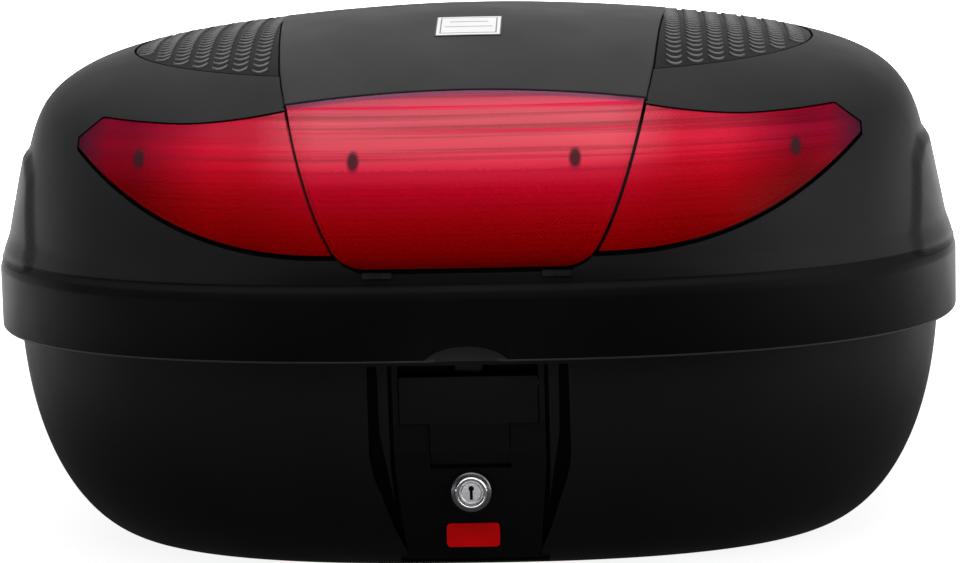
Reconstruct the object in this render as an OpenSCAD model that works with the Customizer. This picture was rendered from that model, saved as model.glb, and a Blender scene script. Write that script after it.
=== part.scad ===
// Motorcycle top case: hinged lid with a three-piece rear lens, base tub, latch and plate release.
// Frame: +Z up, the lock side faces -Y, origin on the ground under the middle of the case.

/* [Case] */
// Width across the lid rim band
case_width = 592; // [592:1:592]
// Depth across the lid rim band
case_depth = 424; // [424:1:424]
// Height of the closed case
case_height = 320; // [320:1:320]
// Height of the lower edge of the rim band
band_bottom = 135; // [135:1:135]
// Height of the upper edge of the rim band
band_top = 178; // [178:1:178]
// Wall thickness of the lid
lid_wall = 3.5; // [3.4:0.1:3.6]
// Wall thickness of the base
base_wall = 3.2; // [3:0.1:3.4]

/* [Lens] */
// Thickness of the lens panels
lens_thick = 3; // [2.5:0.1:3.2]
// Depth of the tray behind the lens
tray_depth = 11; // [10:0.5:12]
// Gap between neighbouring panels
panel_gap = 1; // [0.8:0.1:1.4]

/* [Latch] */
// Half width of the latch paddle shoulders
paddle_half = 40; // [38:0.5:40]
// Half width of the paddle tongue
tongue_half = 23; // [20:0.5:23]
// Height of the tongue's lower edge
tongue_low = 78; // [77:0.5:80]
// Radius of the paddle pin
paddle_pin_r = 2; // [1.8:0.1:2.2]
// Radius of the hook and lever pins
hook_pin_r = 2.5; // [2.2:0.1:2.6]
// Radial clearance of turning fits
run_clear = 0.05; // [0.03:0.01:0.09]

/* [Lock] */
// Height of the key cylinder's axis
key_height = 54; // [53:0.5:55]
// Outer radius of the cylinder's chrome ring
ring_r = 9; // [8.8:0.1:9.2]
// Outer radius of the cylinder's chrome collar
collar_r = 11.6; // [11.2:0.1:11.8]
// Bore radius of the cylinder
plug_bore_r = 7.4; // [7.2:0.1:7.5]
// Width of the release button
button_w = 31; // [29:0.5:31]
// Height of the release button
button_h = 14; // [13:0.5:14.5]

/* [Hinges] */
// Distance of each hinge from the middle
hinge_x = 95; // [90:1:100]
// Width of each hinge
hinge_w = 50; // [50:1:50]
// Radius of the hinge pins
hinge_pin_r = 2.5; // [2.4:0.1:2.6]

/* [Hidden] */

// ---- shape of the lid: superellipse rings that shrink towards the top ----
ring_seg = 56;
lid_rings = 13;
base_rings = 9;
lid_a = 289.5;
lid_b = 207;
lid_a_lean = 28;
lid_b_lean = 20;
lid_back_lean = 8;
front_n = 2.64;
back_n = 4;
top_n = 2.33;
shoulder_p = 8;
shoulder_q = 1.342;
top_step = 0.985;

// ---- shape of the base ----
base_a = 285;
base_b = 201;
base_a_lean = 9;
base_b_lean = 7;
base_a_round = 62;
base_b_round = 53;
base_floor = 3;
rim_top = 145;

// ---- rim band and ledge ----
band_inner_a = 288.5;
band_inner_b = 205.5;
ledge_bottom = 148;
ledge_thick = 3;
seal_gap = 0.2;

// ---- lens outline, as seen from the front ----
lens_low = 188;
lens_mid_half = 66;
seam_top = 105;
tip_x = 232;
lens_proud = 0.5;
screw_x_outer = 192;
screw_x_inner = 64;
screw_z = 247;
lens_screw_r = 3.3;

// ---- top panel and grip pads ----
pad_deep = 1.8;
pad_proud = 0.5;
pad_a = 209;
pad_b = 127;
pad_n = 2.5;
panel_back = 172;
pad_edge_points = 48;
// Half widths of the top panel at stations along Y
panel_sides = [
    [105.4, -150], [105.7, -142], [108.3, -128], [110.6, -112], [113, -82], [115.8, -40],
    [118.3, 0], [120.5, 40], [121, 80], [118, 120], [112, 150], [98, panel_back]
];
// Outline of the front end of the panel's block, as seen from the front
panel_front = [[130, 200], [130, 276.9], [105, 277], [68, 281], [34, 283], [0, 283.6]];

// ---- finger lift, clips and striker ----
lift_y = -217;
lift_z = 129;
lift_size = [32, 10, 17.5];
clip_x = [-50, 53];
clip_half = 8.5;
clip_front = -207.3;
clip_back = -204.1;
clip_low = 183.4;
clip_high = 186.6;
striker_screw_x = 19.5;
striker_screw_z = 168;
striker_screw_r = 1.9;
label_half = 20;
label_front = -82;
label_back = -46;

// ---- lock bay ----
housing_half_top = 44;
housing_half_low = 39;
housing_top = 131;
housing_bend = 70;
housing_foot = 8;
housing_back = -155.5;
recess_deep = 5.5;
ridge_deep = 2.5;
fit_gap = 0.3;
// Half widths of the recess around the lock panel, from its top to its foot
recess_sides = [
    [58, housing_top], [58.5, 75], [56.3, 63], [52.3, 51], [48.5, 38], [45, 27], [40.5, 16], [35, 4]
];
// Ridge that stands in the recess beside the lock panel
recess_ridge = [[46.4, 140], [46.4, 70], [45, 46], [48.8, 70], [52, 90], [52.6, 140]];
// Front of the lock panel, as [y, z] from its top to its foot
panel_face = [
    [-198, housing_top], [-196.5, 112], [-194.5, 95], [-191.5, 78], [-186.5, 60], [-181, 44],
    [-175, 30], [-168, 16], [-163, housing_foot]
];
// Wall of the base that closes the bay under the lock panel
sill_half = 44;
sill_front = -157.6;
sill_back = -154.6;
sill_top = 14;
collar_y = -189.4;
collar_deep = 2.4;
paddle_y = -188;
paddle_z = 118;
shoulder_low = 96;
paddle_top = 124;
hook_y = -176;
hook_z = 110;
button_z = 25.5;
button_front = -177.5;
button_stroke = 3.5;
lever_y = -143;
lever_z = 20;
bolt_tip = -120;
bolt_half = 10;
striker_y = -192;
striker_z = 158;
striker_plate_y = 202.8;
cover_half = 48;
cover_wall = 2.5;
cover_back = -153;
cover_top = 133.5;
cover_step_back = -127.4;
cover_step_top = 38;
cover_screw_x = 37;
cover_screw_z = [80, 122];
cover_screw_r = 1.9;

// ---- plate interface under the base ----
pocket_half = 40;
pocket_front = -124;
pocket_back = -64;
pocket_top = 14;
slot_x = 70;
slot_half = 16;
slot_front = 70;
slot_back = 96;
slot_top = 11;
boss_wall = 3;

// ---- hinges ----
hinge_y = 208;
hinge_z = 128;
knuckle_r = 6.5;
knuckle_half = 9;
leaf_y = 201;
leaf_thick = 2.2;
lid_leaf_y = 208.8;
lid_leaf_top = 169;
hinge_screw_dx = 16;
hinge_screw_r = 2;
hinge_head_r = 3.6;
lid_screw_z = 156;
base_screw_z = 103;
base_screw_end = 192.6;

// ======== helpers ========

// Superellipse ring with its own depth and exponent in front and behind.
function ring(a, bf, bb, nf, nb) = [
    for (i = [0 : ring_seg - 1])
    let (u = 360 * i / ring_seg, c = cos(u), s = sin(u), n = s < 0 ? nf : nb, b = s < 0 ? bf : bb)
    [a * sign(c) * pow(abs(c), 2 / n), b * sign(s) * pow(abs(s), 2 / n)]
];

// Solid through rings given as [z, a, bf, bb, nf, nb].
module loft(rows) {
    points = [for (r = rows, p = ring(r[1], r[2], r[3], r[4], r[5])) [p[0], p[1], r[0]]];
    last = len(rows) - 1;
    sides = [
        for (k = [0 : last - 1], i = [0 : ring_seg - 1])
        let (j = (i + 1) % ring_seg, lo = k * ring_seg, hi = lo + ring_seg)
        [lo + i, hi + i, hi + j, lo + j]
    ];
    floor_cap = [[for (i = [0 : ring_seg - 1]) i]];
    top_cap = [[for (i = [ring_seg - 1 : -1 : 0]) last * ring_seg + i]];
    polyhedron(concat(points), concat(sides, floor_cap, top_cap), convexity = 6);
}

// One ring of the lid at height fraction h, grown by d.
function lid_row(h, d) = [
    band_top + (case_height + d - band_top) * h,
    (lid_a + d - lid_a_lean * h) * pow(1 - pow(h, shoulder_p), 1 / shoulder_q),
    (lid_b + d - lid_b_lean * h) * pow(1 - pow(h, 2.5), 1 / 2),
    (lid_b + d - lid_back_lean * h) * pow(1 - pow(h, 4), 1 / 2),
    front_n + (top_n - front_n) * h,
    back_n + (2.4 - back_n) * h
];

// The lid's outside grown by d, down to the height low.
module lid_body(d, low) {
    foot = lid_row(0, d);
    rows = [for (k = [0 : lid_rings]) lid_row(sin(90 * top_step * k / lid_rings), d)];
    loft(concat([[low, foot[1], foot[2], foot[3], foot[4], foot[5]]], rows));
}

// Upright prism with the rim's outline.
module rim_prism(a, b, low, high) {
    loft([[low, a, b, b, front_n, back_n], [high, a, b, b, front_n, back_n]]);
}

// Depth of the base's side at height z: how far its wall has rolled in.
function base_roll(t) = 1 - pow(1 - pow(t, 2.43), 1 / 1.83);

// One ring of the base at fraction t from rim (0) to floor (1), grown by d.
function base_row(t, d) = [
    band_bottom * (1 - t),
    base_a + d - base_a_lean * t - base_a_round * base_roll(t),
    base_b + d - base_b_lean * t - base_b_round * base_roll(t),
    base_b + d - base_b_lean * t - base_b_round * base_roll(t),
    front_n - 0.14 * t,
    back_n - t
];

// The base's outside grown by d, from its floor up to the height high.
module base_body(d, high) {
    rows = [for (k = [base_rings : -1 : 0]) base_row(pow(k / base_rings, 0.62), d)];
    rim = base_row(0, d);
    loft(concat(rows, [[high, rim[1], rim[2], rim[3], rim[4], rim[5]]]));
}

// Keeps a freeform body as one mesh.
module skin() {
    resize([0, 0, 0]) children();
}

// Outline drawn as seen from the front (x, z), extruded along Y from y0 to y1.
module front_cut(y0, y1) {
    translate([0, y1, 0]) rotate([90, 0, 0]) linear_extrude(y1 - y0) children();
}

// Outline drawn in the (y, z) plane, extruded along X from -half to half.
module side_profile(half) {
    rotate([90, 0, 90]) translate([0, 0, -half]) linear_extrude(2 * half) children();
}

// Cylinder along X, centred on x = 0.
module rod_x(r, half, y, z) {
    translate([-half, y, z]) rotate([0, 90, 0]) cylinder(r = r, h = 2 * half, $fn = 48);
}

// Cylinder along Y from y0 to y1.
module rod_y(r, y0, y1, x, z) {
    translate([x, y1, z]) rotate([90, 0, 0]) cylinder(r = r, h = y1 - y0, $fn = 48);
}

module box(x0, x1, y0, y1, z0, z1) {
    translate([x0, y0, z0]) cube([x1 - x0, y1 - y0, z1 - z0]);
}

// Close-wound coil as a ridged tube about Z.
module coil(r, wire, turns) {
    rotate_extrude($fn = 48) {
        translate([r - wire / 2, wire]) square([wire, 2 * wire * (turns - 1)]);
        for (k = [0 : turns - 1]) translate([r, wire + 2 * wire * k]) circle(r = wire, $fn = 16);
    }
}

module mirrored() {
    children();
    mirror([1, 0, 0]) children();
}

// ======== lens and panel outlines ========

// The points of a side line followed by the mirror images of those off the middle, in reverse order.
function both_sides(side) = concat(
    side,
    [for (i = [len(side) - 1 : -1 : 0]) if (side[i][0] > 0) [-side[i][0], side[i][1]]]
);

// Half width of the centre seam at height z.
function seam_at(z) = lens_mid_half + (seam_top - lens_mid_half) * pow((z - lens_low) / 88, 0.62);

function lens_floor(x) = 196 + 55 * pow((x - 78) / 154, 2.3);

module centre_lens_outline(grow) {
    offset(delta = grow) polygon(both_sides(concat(
        [[0, 282.6], [34, 282], [68, 280]],
        [for (z = [276, 262, 246, 230, 214, 202, 194]) [seam_at(z), z]],
        [[66, 190], [58, lens_low], [0, lens_low - 0.6]]
    )));
}

module side_lens_outline(grow) {
    offset(delta = grow) polygon(concat(
        [for (z = [273, 262, 246, 230, 214, 202, 196]) [seam_at(z) + panel_gap, z]],
        [for (x = [92 : 20 : 232]) [x, lens_floor(x)]],
        [[tip_x, 255], [217, 267.5], [196, 266.5], [170, 266], [140, 268]]
    ));
}

module lens_area(grow) {
    centre_lens_outline(grow);
    side_lens_outline(grow);
    mirror([1, 0]) side_lens_outline(grow);
}

function superellipse(a, b, n) = [
    for (i = [0 : pad_edge_points - 1])
    let (u = 360 * i / pad_edge_points, c = cos(u), s = sin(u))
    [a * sign(c) * pow(abs(c), 2 / n), b * sign(s) * pow(abs(s), 2 / n)]
];

// Top panel as seen from above.
module panel_outline(grow) {
    offset(delta = grow) polygon(both_sides(panel_sides));
}

// Grip pad as seen from above, up to the top panel's edge.
module pad_outline(grow) {
    difference() {
        intersection() {
            polygon(superellipse(pad_a + grow, pad_b + grow, pad_n));
            translate([0, -200]) square([300, 400]);
        }
        panel_outline(panel_gap - grow);
    }
}

module panel_area(grow) {
    difference() {
        translate([0, 0, 200]) linear_extrude(130) panel_outline(grow);
        front_cut(-230, -100) offset(delta = -grow) polygon(both_sides(panel_front));
    }
}

// ======== lid ========

// Raised side wing, seen from the side.
module wing() {
    intersection() {
        difference() {
            lid_body(3, 150);
            lid_body(-1, 140);
        }
        rotate([90, 0, 90]) linear_extrude(400) polygon([
            [-122, 182], [-104, 208], [-84, 232], [-62, 242], [110, 242], [140, 226], [150, 182]
        ]);
    }
}

module band() {
    a = case_width / 2;
    b = case_depth / 2;
    difference() {
        loft([
            [band_bottom, a - 1.4, b - 1.4, b - 1.4, front_n, back_n],
            [band_bottom + 1.6, a, b, b, front_n, back_n],
            [band_top - 7, a, b, b, front_n, back_n],
            [band_top - 2, a - 2, b - 1.8, b - 1.8, front_n, back_n],
            [band_top + 2, a - 4.4, b - 4, b - 4, front_n, back_n],
            [band_top + 8.6, a - 7, b - 6.2, b - 6.2, front_n, back_n]
        ]);
        rim_prism(band_inner_a, band_inner_b, band_bottom - 1, 170);
        lid_body(-lid_wall, 165);
    }
}

module lid_outer_wall() {
    difference() {
        lid_body(0, 160);
        lid_body(-lid_wall, 150);
    }
}

module lens_tray() {
    intersection() {
        difference() {
            lid_body(0, 160);
            lid_body(-tray_depth - 2.5, 150);
        }
        front_cut(-230, -60) lens_area(3.4);
    }
}

module lens_recess() {
    intersection() {
        difference() {
            lid_body(6, 150);
            lid_body(-tray_depth, 140);
        }
        front_cut(-230, -60) lens_area(0.8);
    }
}

module ledge() {
    difference() {
        rim_prism(band_inner_a + 1.5, band_inner_b + 1.5, ledge_bottom, ledge_bottom + ledge_thick);
        rim_prism(base_a - 6, base_b - 6, ledge_bottom - 1, ledge_bottom + ledge_thick + 1);
    }
}

module lid_shell() {
    color([0.07, 0.07, 0.075]) skin() difference() {
        union() {
            lid_outer_wall();
            lens_tray();
            band();
            ledge();
            mirrored() wing();
        }
        lens_recess();
        intersection() {
            difference() {
                lid_body(6, 150);
                lid_body(-pad_deep, 140);
            }
            union() {
                mirrored() translate([0, 0, 200]) linear_extrude(130) pad_outline(0.8);
                panel_area(0.8);
            }
        }
        translate([0, lift_y, lift_z]) scale(lift_size) sphere(r = 1, $fn = 32);
        mirrored() lid_leaf_pocket();
        clips(0.1);
        mirrored() rod_y(striker_screw_r + 0.1, -206, -202, striker_screw_x, striker_screw_z);
    }
}

// Seat for the lid's hinge leaf in the rear face of the band.
module lid_leaf_pocket() {
    half = hinge_w / 2 + 0.4;
    box(hinge_x - half, hinge_x + half, lid_leaf_y - 0.2, 216, band_bottom - 1, lid_leaf_top + 0.5);
    hinge_screw_holes(hinge_screw_r + 0.1, 200, 212, lid_screw_z);
}

// Two holes along Y in line with a hinge leaf's screws.
module hinge_screw_holes(r, y0, y1, z) {
    for (dx = [-hinge_screw_dx, hinge_screw_dx]) rod_y(r, y0, y1, hinge_x + dx, z);
}

// Two screws with heads outside the leaf face at y.
module hinge_screws(y0, y, z) {
    hinge_screw_holes(hinge_screw_r, y0, y, z);
    hinge_screw_holes(hinge_head_r, y, y + 2, z);
}

module lens_skin() {
    intersection() {
        difference() {
            lid_body(lens_proud, 150);
            lid_body(lens_proud - lens_thick, 140);
        }
        children();
    }
}

module lens_centre() {
    color([0.75, 0.02, 0.05]) skin() lens_skin() front_cut(-230, -60) centre_lens_outline(-0.2);
}

module lens_right() {
    color([0.75, 0.02, 0.05]) skin() lens_skin() front_cut(-230, -60) side_lens_outline(-0.2);
}

module lens_left() {
    mirror([1, 0, 0]) lens_right();
}

module reflector_skin() {
    intersection() {
        difference() {
            lid_body(1.5 - tray_depth, 150);
            lid_body(-tray_depth, 140);
        }
        children();
    }
}

module reflector_centre() {
    color([0.7, 0.1, 0.12]) skin() reflector_skin() front_cut(-230, -60) centre_lens_outline(-1.5);
}

module reflector_right() {
    color([0.7, 0.1, 0.12]) skin() reflector_skin() front_cut(-230, -60) side_lens_outline(-1.5);
}

module reflector_left() {
    mirror([1, 0, 0]) reflector_right();
}

module lens_screws() {
    color([0.08, 0.02, 0.02]) skin() intersection() {
        difference() {
            lid_body(lens_proud - lens_thick - 0.4, 150);
            lid_body(1.5 - tray_depth, 140);
        }
        for (x = [-screw_x_outer, -screw_x_inner, screw_x_inner, screw_x_outer])
            translate([x, -60, screw_z]) rotate([90, 0, 0]) cylinder(r = lens_screw_r, h = 160, $fn = 20);
    }
}

// The two lens clips, grown by d.
module clips(d) {
    half = clip_half + d;
    for (x = clip_x) box(x - half, x + half, clip_front - d, clip_back + d, clip_low - d, clip_high + d);
}

module lens_clips() {
    color([0.2, 0.2, 0.21]) clips(0);
}

module grip_right() {
    color([0.09, 0.09, 0.1]) skin() intersection() {
        difference() {
            lid_body(pad_proud, 150);
            lid_body(-pad_deep, 140);
        }
        translate([0, 0, 200]) linear_extrude(130) pad_outline(0);
    }
}

module grip_left() {
    mirror([1, 0, 0]) grip_right();
}

module top_panel() {
    color([0.1, 0.1, 0.11]) skin() intersection() {
        difference() {
            lid_body(pad_proud, 150);
            lid_body(-pad_deep, 140);
        }
        panel_area(0);
    }
}

module label_plate() {
    color([0.85, 0.85, 0.85]) skin() intersection() {
        difference() {
            lid_body(pad_proud + 0.6, 150);
            lid_body(pad_proud, 140);
        }
        box(-label_half, label_half, label_front, label_back, 250, 330);
    }
}

module striker() {
    color([0.6, 0.6, 0.62]) {
        difference() {
            union() {
                box(-24, 24, -striker_plate_y, -striker_plate_y + 2.4, 153, 175);
                mirrored() box(12, 15, -striker_plate_y + 1, striker_y + 3.4, 153, 163);
            }
            mirrored() rod_y(striker_screw_r, -207, -200, striker_screw_x, striker_screw_z);
        }
        rod_x(2.5, 12.5, striker_y, striker_z);
    }
}

module striker_screws() {
    head_y = 2.4 - striker_plate_y;
    color([0.55, 0.55, 0.57]) mirrored() {
        rod_y(striker_screw_r, -205.5, head_y, striker_screw_x, striker_screw_z);
        rod_y(3.4, head_y, head_y + 1.8, striker_screw_x, striker_screw_z);
    }
}

module lid_leaf() {
    difference() {
        union() {
            translate([hinge_x, lid_leaf_y, 0]) {
                box(-hinge_w / 2, hinge_w / 2, 0, leaf_thick, band_bottom + 0.6, lid_leaf_top);
                box(-knuckle_half, knuckle_half, 0, leaf_thick, hinge_z, band_bottom + 2);
            }
            translate([hinge_x, 0, 0]) rod_x(knuckle_r, knuckle_half, hinge_y, hinge_z);
        }
        translate([hinge_x, 0, 0]) rod_x(hinge_pin_r + run_clear, knuckle_half + 1, hinge_y, hinge_z);
        hinge_screw_holes(hinge_screw_r, 205, 214, lid_screw_z);
    }
}

module hinge_lid_right() {
    color([0.12, 0.12, 0.13]) lid_leaf();
}

module hinge_lid_left() {
    mirror([1, 0, 0]) hinge_lid_right();
}

module lid_hinge_screws() {
    color([0.6, 0.6, 0.62]) mirrored() hinge_screws(203, lid_leaf_y + leaf_thick, lid_screw_z);
}

// ======== base ========

module recess_outline(grow) {
    offset(delta = grow) polygon(both_sides(recess_sides));
}

module housing_outline(grow) {
    offset(delta = grow) polygon(both_sides([
        [housing_half_top, housing_top], [housing_half_top, housing_bend], [housing_half_low, housing_foot]
    ]));
}

// Recess in the front wall around the lock panel, less the ridges that stand in it.
module front_recess() {
    difference() {
        front_cut(-230, -120) recess_outline(0);
        base_body(-recess_deep, 200);
        mirrored() intersection() {
            base_body(-ridge_deep, 200);
            front_cut(-230, -120) polygon(recess_ridge);
        }
    }
}

// Hollow block in the floor with outer walls around the pocket half x y0 y1, centred on x.
module floor_boss(x, half, y0, y1, top) {
    out = half + boss_wall;
    box(x - out, x + out, y0 - boss_wall, y1 + boss_wall, 1, top + boss_wall);
}

module base_shell() {
    color([0.04, 0.04, 0.045]) skin() difference() {
        union() {
            difference() {
                base_body(0, rim_top);
                intersection() {
                    base_body(-base_wall, rim_top + 1);
                    box(-300, 300, -220, 220, base_floor, 200);
                }
            }
            difference() {
                intersection() {
                    base_body(-0.5, housing_top + 3);
                    front_cut(-230, -100) recess_outline(3);
                }
                base_body(-9, 200);
            }
            floor_boss(0, pocket_half, pocket_front, pocket_back, pocket_top);
            mirrored() floor_boss(slot_x, slot_half, slot_front, slot_back, slot_top);
            mirrored() box(hinge_x - hinge_w / 2 - 2, hinge_x + hinge_w / 2 + 2, 190, leaf_y, 92, 130);
        }
        front_recess();
        difference() {
            front_cut(-230, -140) housing_outline(fit_gap);
            box(-sill_half, sill_half, sill_front, sill_back, 1, sill_top);
        }
        box(-pocket_half, pocket_half, pocket_front, pocket_back, -1, pocket_top);
        mirrored() box(slot_x - slot_half, slot_x + slot_half, slot_front, slot_back, -1, slot_top);
        box(-bolt_half - 0.4, bolt_half + 0.4, pocket_front - boss_wall - 1, pocket_front + 1, 5.6, 12.4);
        box(-bolt_half - 0.6, bolt_half + 0.6, lever_y - 10, lever_y, 5.6, 12.4);
        mirrored() hinge_screw_holes(hinge_screw_r + 0.1, base_screw_end - 0.2, 202, base_screw_z);
    }
}

module rim_seal() {
    color([0.03, 0.03, 0.03]) skin() difference() {
        rim_prism(base_a, base_b, rim_top, ledge_bottom - seal_gap);
        rim_prism(base_a - base_wall, base_b - base_wall, rim_top - 1, ledge_bottom + 1);
    }
}

// Holes for the four screws that hold the cover to the lock housing.
module cover_screw_holes(r, y0, y1) {
    mirrored() for (z = cover_screw_z) rod_y(r, y0, y1, cover_screw_x, z);
}

module lock_housing() {
    button_z0 = button_z - button_h / 2 - 0.4;
    button_z1 = button_z + button_h / 2 + 0.4;
    color([0.05, 0.05, 0.055]) difference() {
        union() {
            intersection() {
                side_profile(housing_half_top) polygon(concat(
                    panel_face,
                    [[housing_back, housing_foot], [housing_back, housing_top]]
                ));
                front_cut(-230, -140) housing_outline(0);
            }
            rod_y(collar_r + 0.6, collar_y, -176, 0, key_height);
        }
        // foot, cut back for the sill of the base
        box(-sill_half - 1, sill_half + 1, sill_front - 0.3, -150, 7, sill_top + 0.3);
        // well for the paddle, with a finger scoop under its tongue
        box(-paddle_half - 0.6, paddle_half + 0.6, -210, -182, shoulder_low - 0.6, housing_top + 1);
        box(-tongue_half - 0.6, tongue_half + 0.6, -210, -181, 68, shoulder_low + 1);
        // bay behind the front wall
        difference() {
            side_profile(32) polygon([
                [housing_back - 2, 9], [-158, 9], [-165.5, 22], [-172, 36], [-178, 52], [-178.5, 66],
                [-178.5, 127], [housing_back + 1, 127], [housing_back + 1, 9]
            ]);
            rod_y(collar_r, collar_y, -172.6, 0, key_height);
            mirrored() box(12, 17, -180, -169, 101, 119);
        }
        // hook window
        box(-12, 12, -186, -178, 99, housing_top + 1);
        box(-12, 12, -190, -165, 125, housing_top + 1);
        rod_x(hook_pin_r, 17.5, hook_y, hook_z);
        rod_x(paddle_pin_r, housing_half_top + 1, paddle_y, paddle_z);
        rod_y(ring_r, -195, -165, 0, key_height);
        box(-button_w / 2 - 0.4, button_w / 2 + 0.4, -190, -160, button_z0, button_z1);
        cover_screw_holes(cover_screw_r, -170, -150);
    }
}

module lock_cover() {
    color([0.05, 0.05, 0.055]) difference() {
        side_profile(cover_half) polygon([
            [-185, cover_top], [cover_back, cover_top], [cover_back, cover_step_top],
            [cover_step_back, cover_step_top], [cover_step_back, 3.2], [-141, 3.2],
            [-147, 8], [-154, 16], [-164, 32], [-174, 54], [-180, 74], [-185, 100]
        ]);
        side_profile(cover_half - cover_wall) polygon([
            [-200, cover_top - cover_wall], [cover_back - cover_wall, cover_top - cover_wall],
            [cover_back - cover_wall, cover_step_top - cover_wall],
            [cover_step_back - cover_wall, cover_step_top - cover_wall],
            [cover_step_back - cover_wall, 2], [-200, 2]
        ]);
        box(-12.5, 12.5, -195, -165, 125, 140);
        box(-bolt_half - 0.6, bolt_half + 0.6, -131, -126, 5, 13);
        cover_screw_holes(cover_screw_r + 0.2, -160, -150);
    }
}

module cover_screws() {
    color([0.6, 0.6, 0.62]) {
        cover_screw_holes(cover_screw_r, -168, cover_back);
        cover_screw_holes(3.6, cover_back, cover_back + 2);
    }
}

module lock_barrel() {
    color([0.75, 0.75, 0.77]) difference() {
        union() {
            rod_y(ring_r, collar_y, -173, 0, key_height);
            translate([0, collar_y, key_height]) rotate([90, 0, 0]) rotate_extrude($fn = 64) polygon([
                [7, 0], [collar_r, 0], [collar_r, 0.5], [9.5, collar_deep - 0.3], [9.2, collar_deep],
                [7, collar_deep]
            ]);
        }
        rod_y(plug_bore_r, -200, -160, 0, key_height);
    }
}

module key_plug() {
    color([0.7, 0.7, 0.72]) difference() {
        union() {
            rod_y(plug_bore_r - run_clear, collar_y - 1.9, -172, 0, key_height);
            box(-3, 3, -172, -169, key_height - 3, key_height + 3);
        }
        box(-1, 1, -192, -178, key_height - 4.4, key_height + 2.6);
        rod_y(1.7, -192, -178, 0, key_height + 2.8);
    }
}

module lock_cam() {
    color([0.6, 0.6, 0.62]) difference() {
        union() {
            rod_y(7.2, -172, -169.6, 0, key_height);
            box(-5, 5, -172, -169.6, key_height, 82.5);
        }
        box(-3, 3, -173, -168, key_height - 3, key_height + 3);
    }
}

module paddle_pin() {
    color([0.6, 0.6, 0.62]) rod_x(paddle_pin_r, 43.5, paddle_y, paddle_z);
}

module hook_pin() {
    color([0.6, 0.6, 0.62]) rod_x(hook_pin_r, 17, hook_y, hook_z);
}

module latch_paddle() {
    color([0.05, 0.05, 0.055]) difference() {
        union() {
            intersection() {
                side_profile(paddle_half) polygon([
                    [-198.4, paddle_top], [-197.4, 112], [-195.9, 96], [-192.8, tongue_low],
                    [-189.6, tongue_low], [-192.4, 96], [-193.8, 112], [-194.6, paddle_top]
                ]);
                front_cut(-230, -150) polygon([
                    [-paddle_half, paddle_top], [-paddle_half, shoulder_low], [-tongue_half, shoulder_low],
                    [-tongue_half, tongue_low], [tongue_half, tongue_low], [tongue_half, shoulder_low],
                    [paddle_half, shoulder_low], [paddle_half, paddle_top]
                ]);
            }
            mirrored() translate([31, 0, 0]) {
                rod_x(5, 4, paddle_y, paddle_z);
                box(-4, 4, -195, paddle_y, 114, 122.4);
            }
            box(-9, 9, -195, -184.5, 119.6, 123.4);
            mirrored() box(7, 9, -195, -188, 100, 120);
        }
        rod_x(paddle_pin_r + run_clear, paddle_half + 1, paddle_y, paddle_z);
    }
}

module latch_hook() {
    color([0.55, 0.55, 0.57]) difference() {
        union() {
            rod_x(6, 8, hook_y, hook_z);
            side_profile(8) polygon([
                [-183, 112], [-183, 160], [-188, 161.5], [-188, 164], [-185.5, 166], [-179, 166],
                [-177, 163], [-177, 116], [-170.5, 110], [-165.5, 98], [-163, 86], [-168, 86],
                [-171.5, 97], [-178, 104]
            ]);
        }
        rod_x(hook_pin_r + run_clear, 10, hook_y, hook_z);
    }
}

module paddle_spring() {
    color([0.5, 0.5, 0.52]) translate([12, paddle_y, paddle_z]) rotate([0, 90, 0]) coil(3.1, 0.7, 9);
}

module release_button() {
    color([0.7, 0.0, 0.02]) {
        front_cut(button_front, -165) translate([0, button_z])
            offset(r = 2) square([button_w - 4, button_h - 4], center = true);
        box(-4, 4, -165, lever_y - 3.8, lever_z + 7, lever_z + 11.5);
    }
}

// Rocker that turns the button's push into the bolt's draw.
module release_lever() {
    color([0.55, 0.55, 0.57]) difference() {
        side_profile(3) polygon([
            [lever_y - 2, lever_z - 11], [lever_y - 2.4, lever_z + 9], [lever_y - 1.4, lever_z + 11],
            [lever_y + 1.4, lever_z + 11], [lever_y + 4, lever_z], [lever_y + 2, lever_z - 11]
        ]);
        rod_x(1.5 + run_clear, 4, lever_y, lever_z);
    }
}

module lever_pin() {
    color([0.6, 0.6, 0.62]) rod_x(1.5, 12, lever_y, lever_z);
}

module plate_bolt() {
    color([0.6, 0.6, 0.62]) difference() {
        union() {
            box(-bolt_half, bolt_half, lever_y - 5.5, bolt_tip, 6, 12);
            box(-17, 17, lever_y + 10.5, lever_y + 12.8, 6, 12);
        }
        box(-4, 4, lever_y - 3, lever_y + 4, 5, 13);
    }
}

module button_spring() {
    color([0.5, 0.5, 0.52])
        mirrored() translate([9, -161.2, button_z]) rotate([-90, 0, 0]) coil(2.6, 0.5, 5);
}

module bolt_spring() {
    color([0.5, 0.5, 0.52]) mirrored() translate([14, -146.2, 9]) rotate([-90, 0, 0]) coil(2, 0.4, 12);
}

// Base leaf of a hinge, with its two outer knuckles.
module hinge_base_right() {
    color([0.12, 0.12, 0.13]) difference() {
        union() {
            box(hinge_x - hinge_w / 2, hinge_x + hinge_w / 2, leaf_y, leaf_y + leaf_thick, 93, 121);
            for (side = [-1, 1]) {
                mid = hinge_x + side * (hinge_w / 2 + knuckle_half + fit_gap) / 2;
                half = (hinge_w / 2 - knuckle_half - fit_gap) / 2;
                translate([mid, 0, 0]) rod_x(knuckle_r, half, hinge_y, hinge_z);
                box(mid - half, mid + half, leaf_y, hinge_y - 1, 119, 127);
            }
        }
        translate([hinge_x, 0, 0]) rod_x(hinge_pin_r, hinge_w, hinge_y, hinge_z);
        hinge_screw_holes(hinge_screw_r, 198, 205, base_screw_z);
    }
}

module hinge_base_left() {
    mirror([1, 0, 0]) hinge_base_right();
}

module hinge_pins() {
    color([0.6, 0.6, 0.62]) mirrored() translate([hinge_x, 0, 0])
        rod_x(hinge_pin_r, hinge_w / 2 + 1, hinge_y, hinge_z);
}

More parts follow.
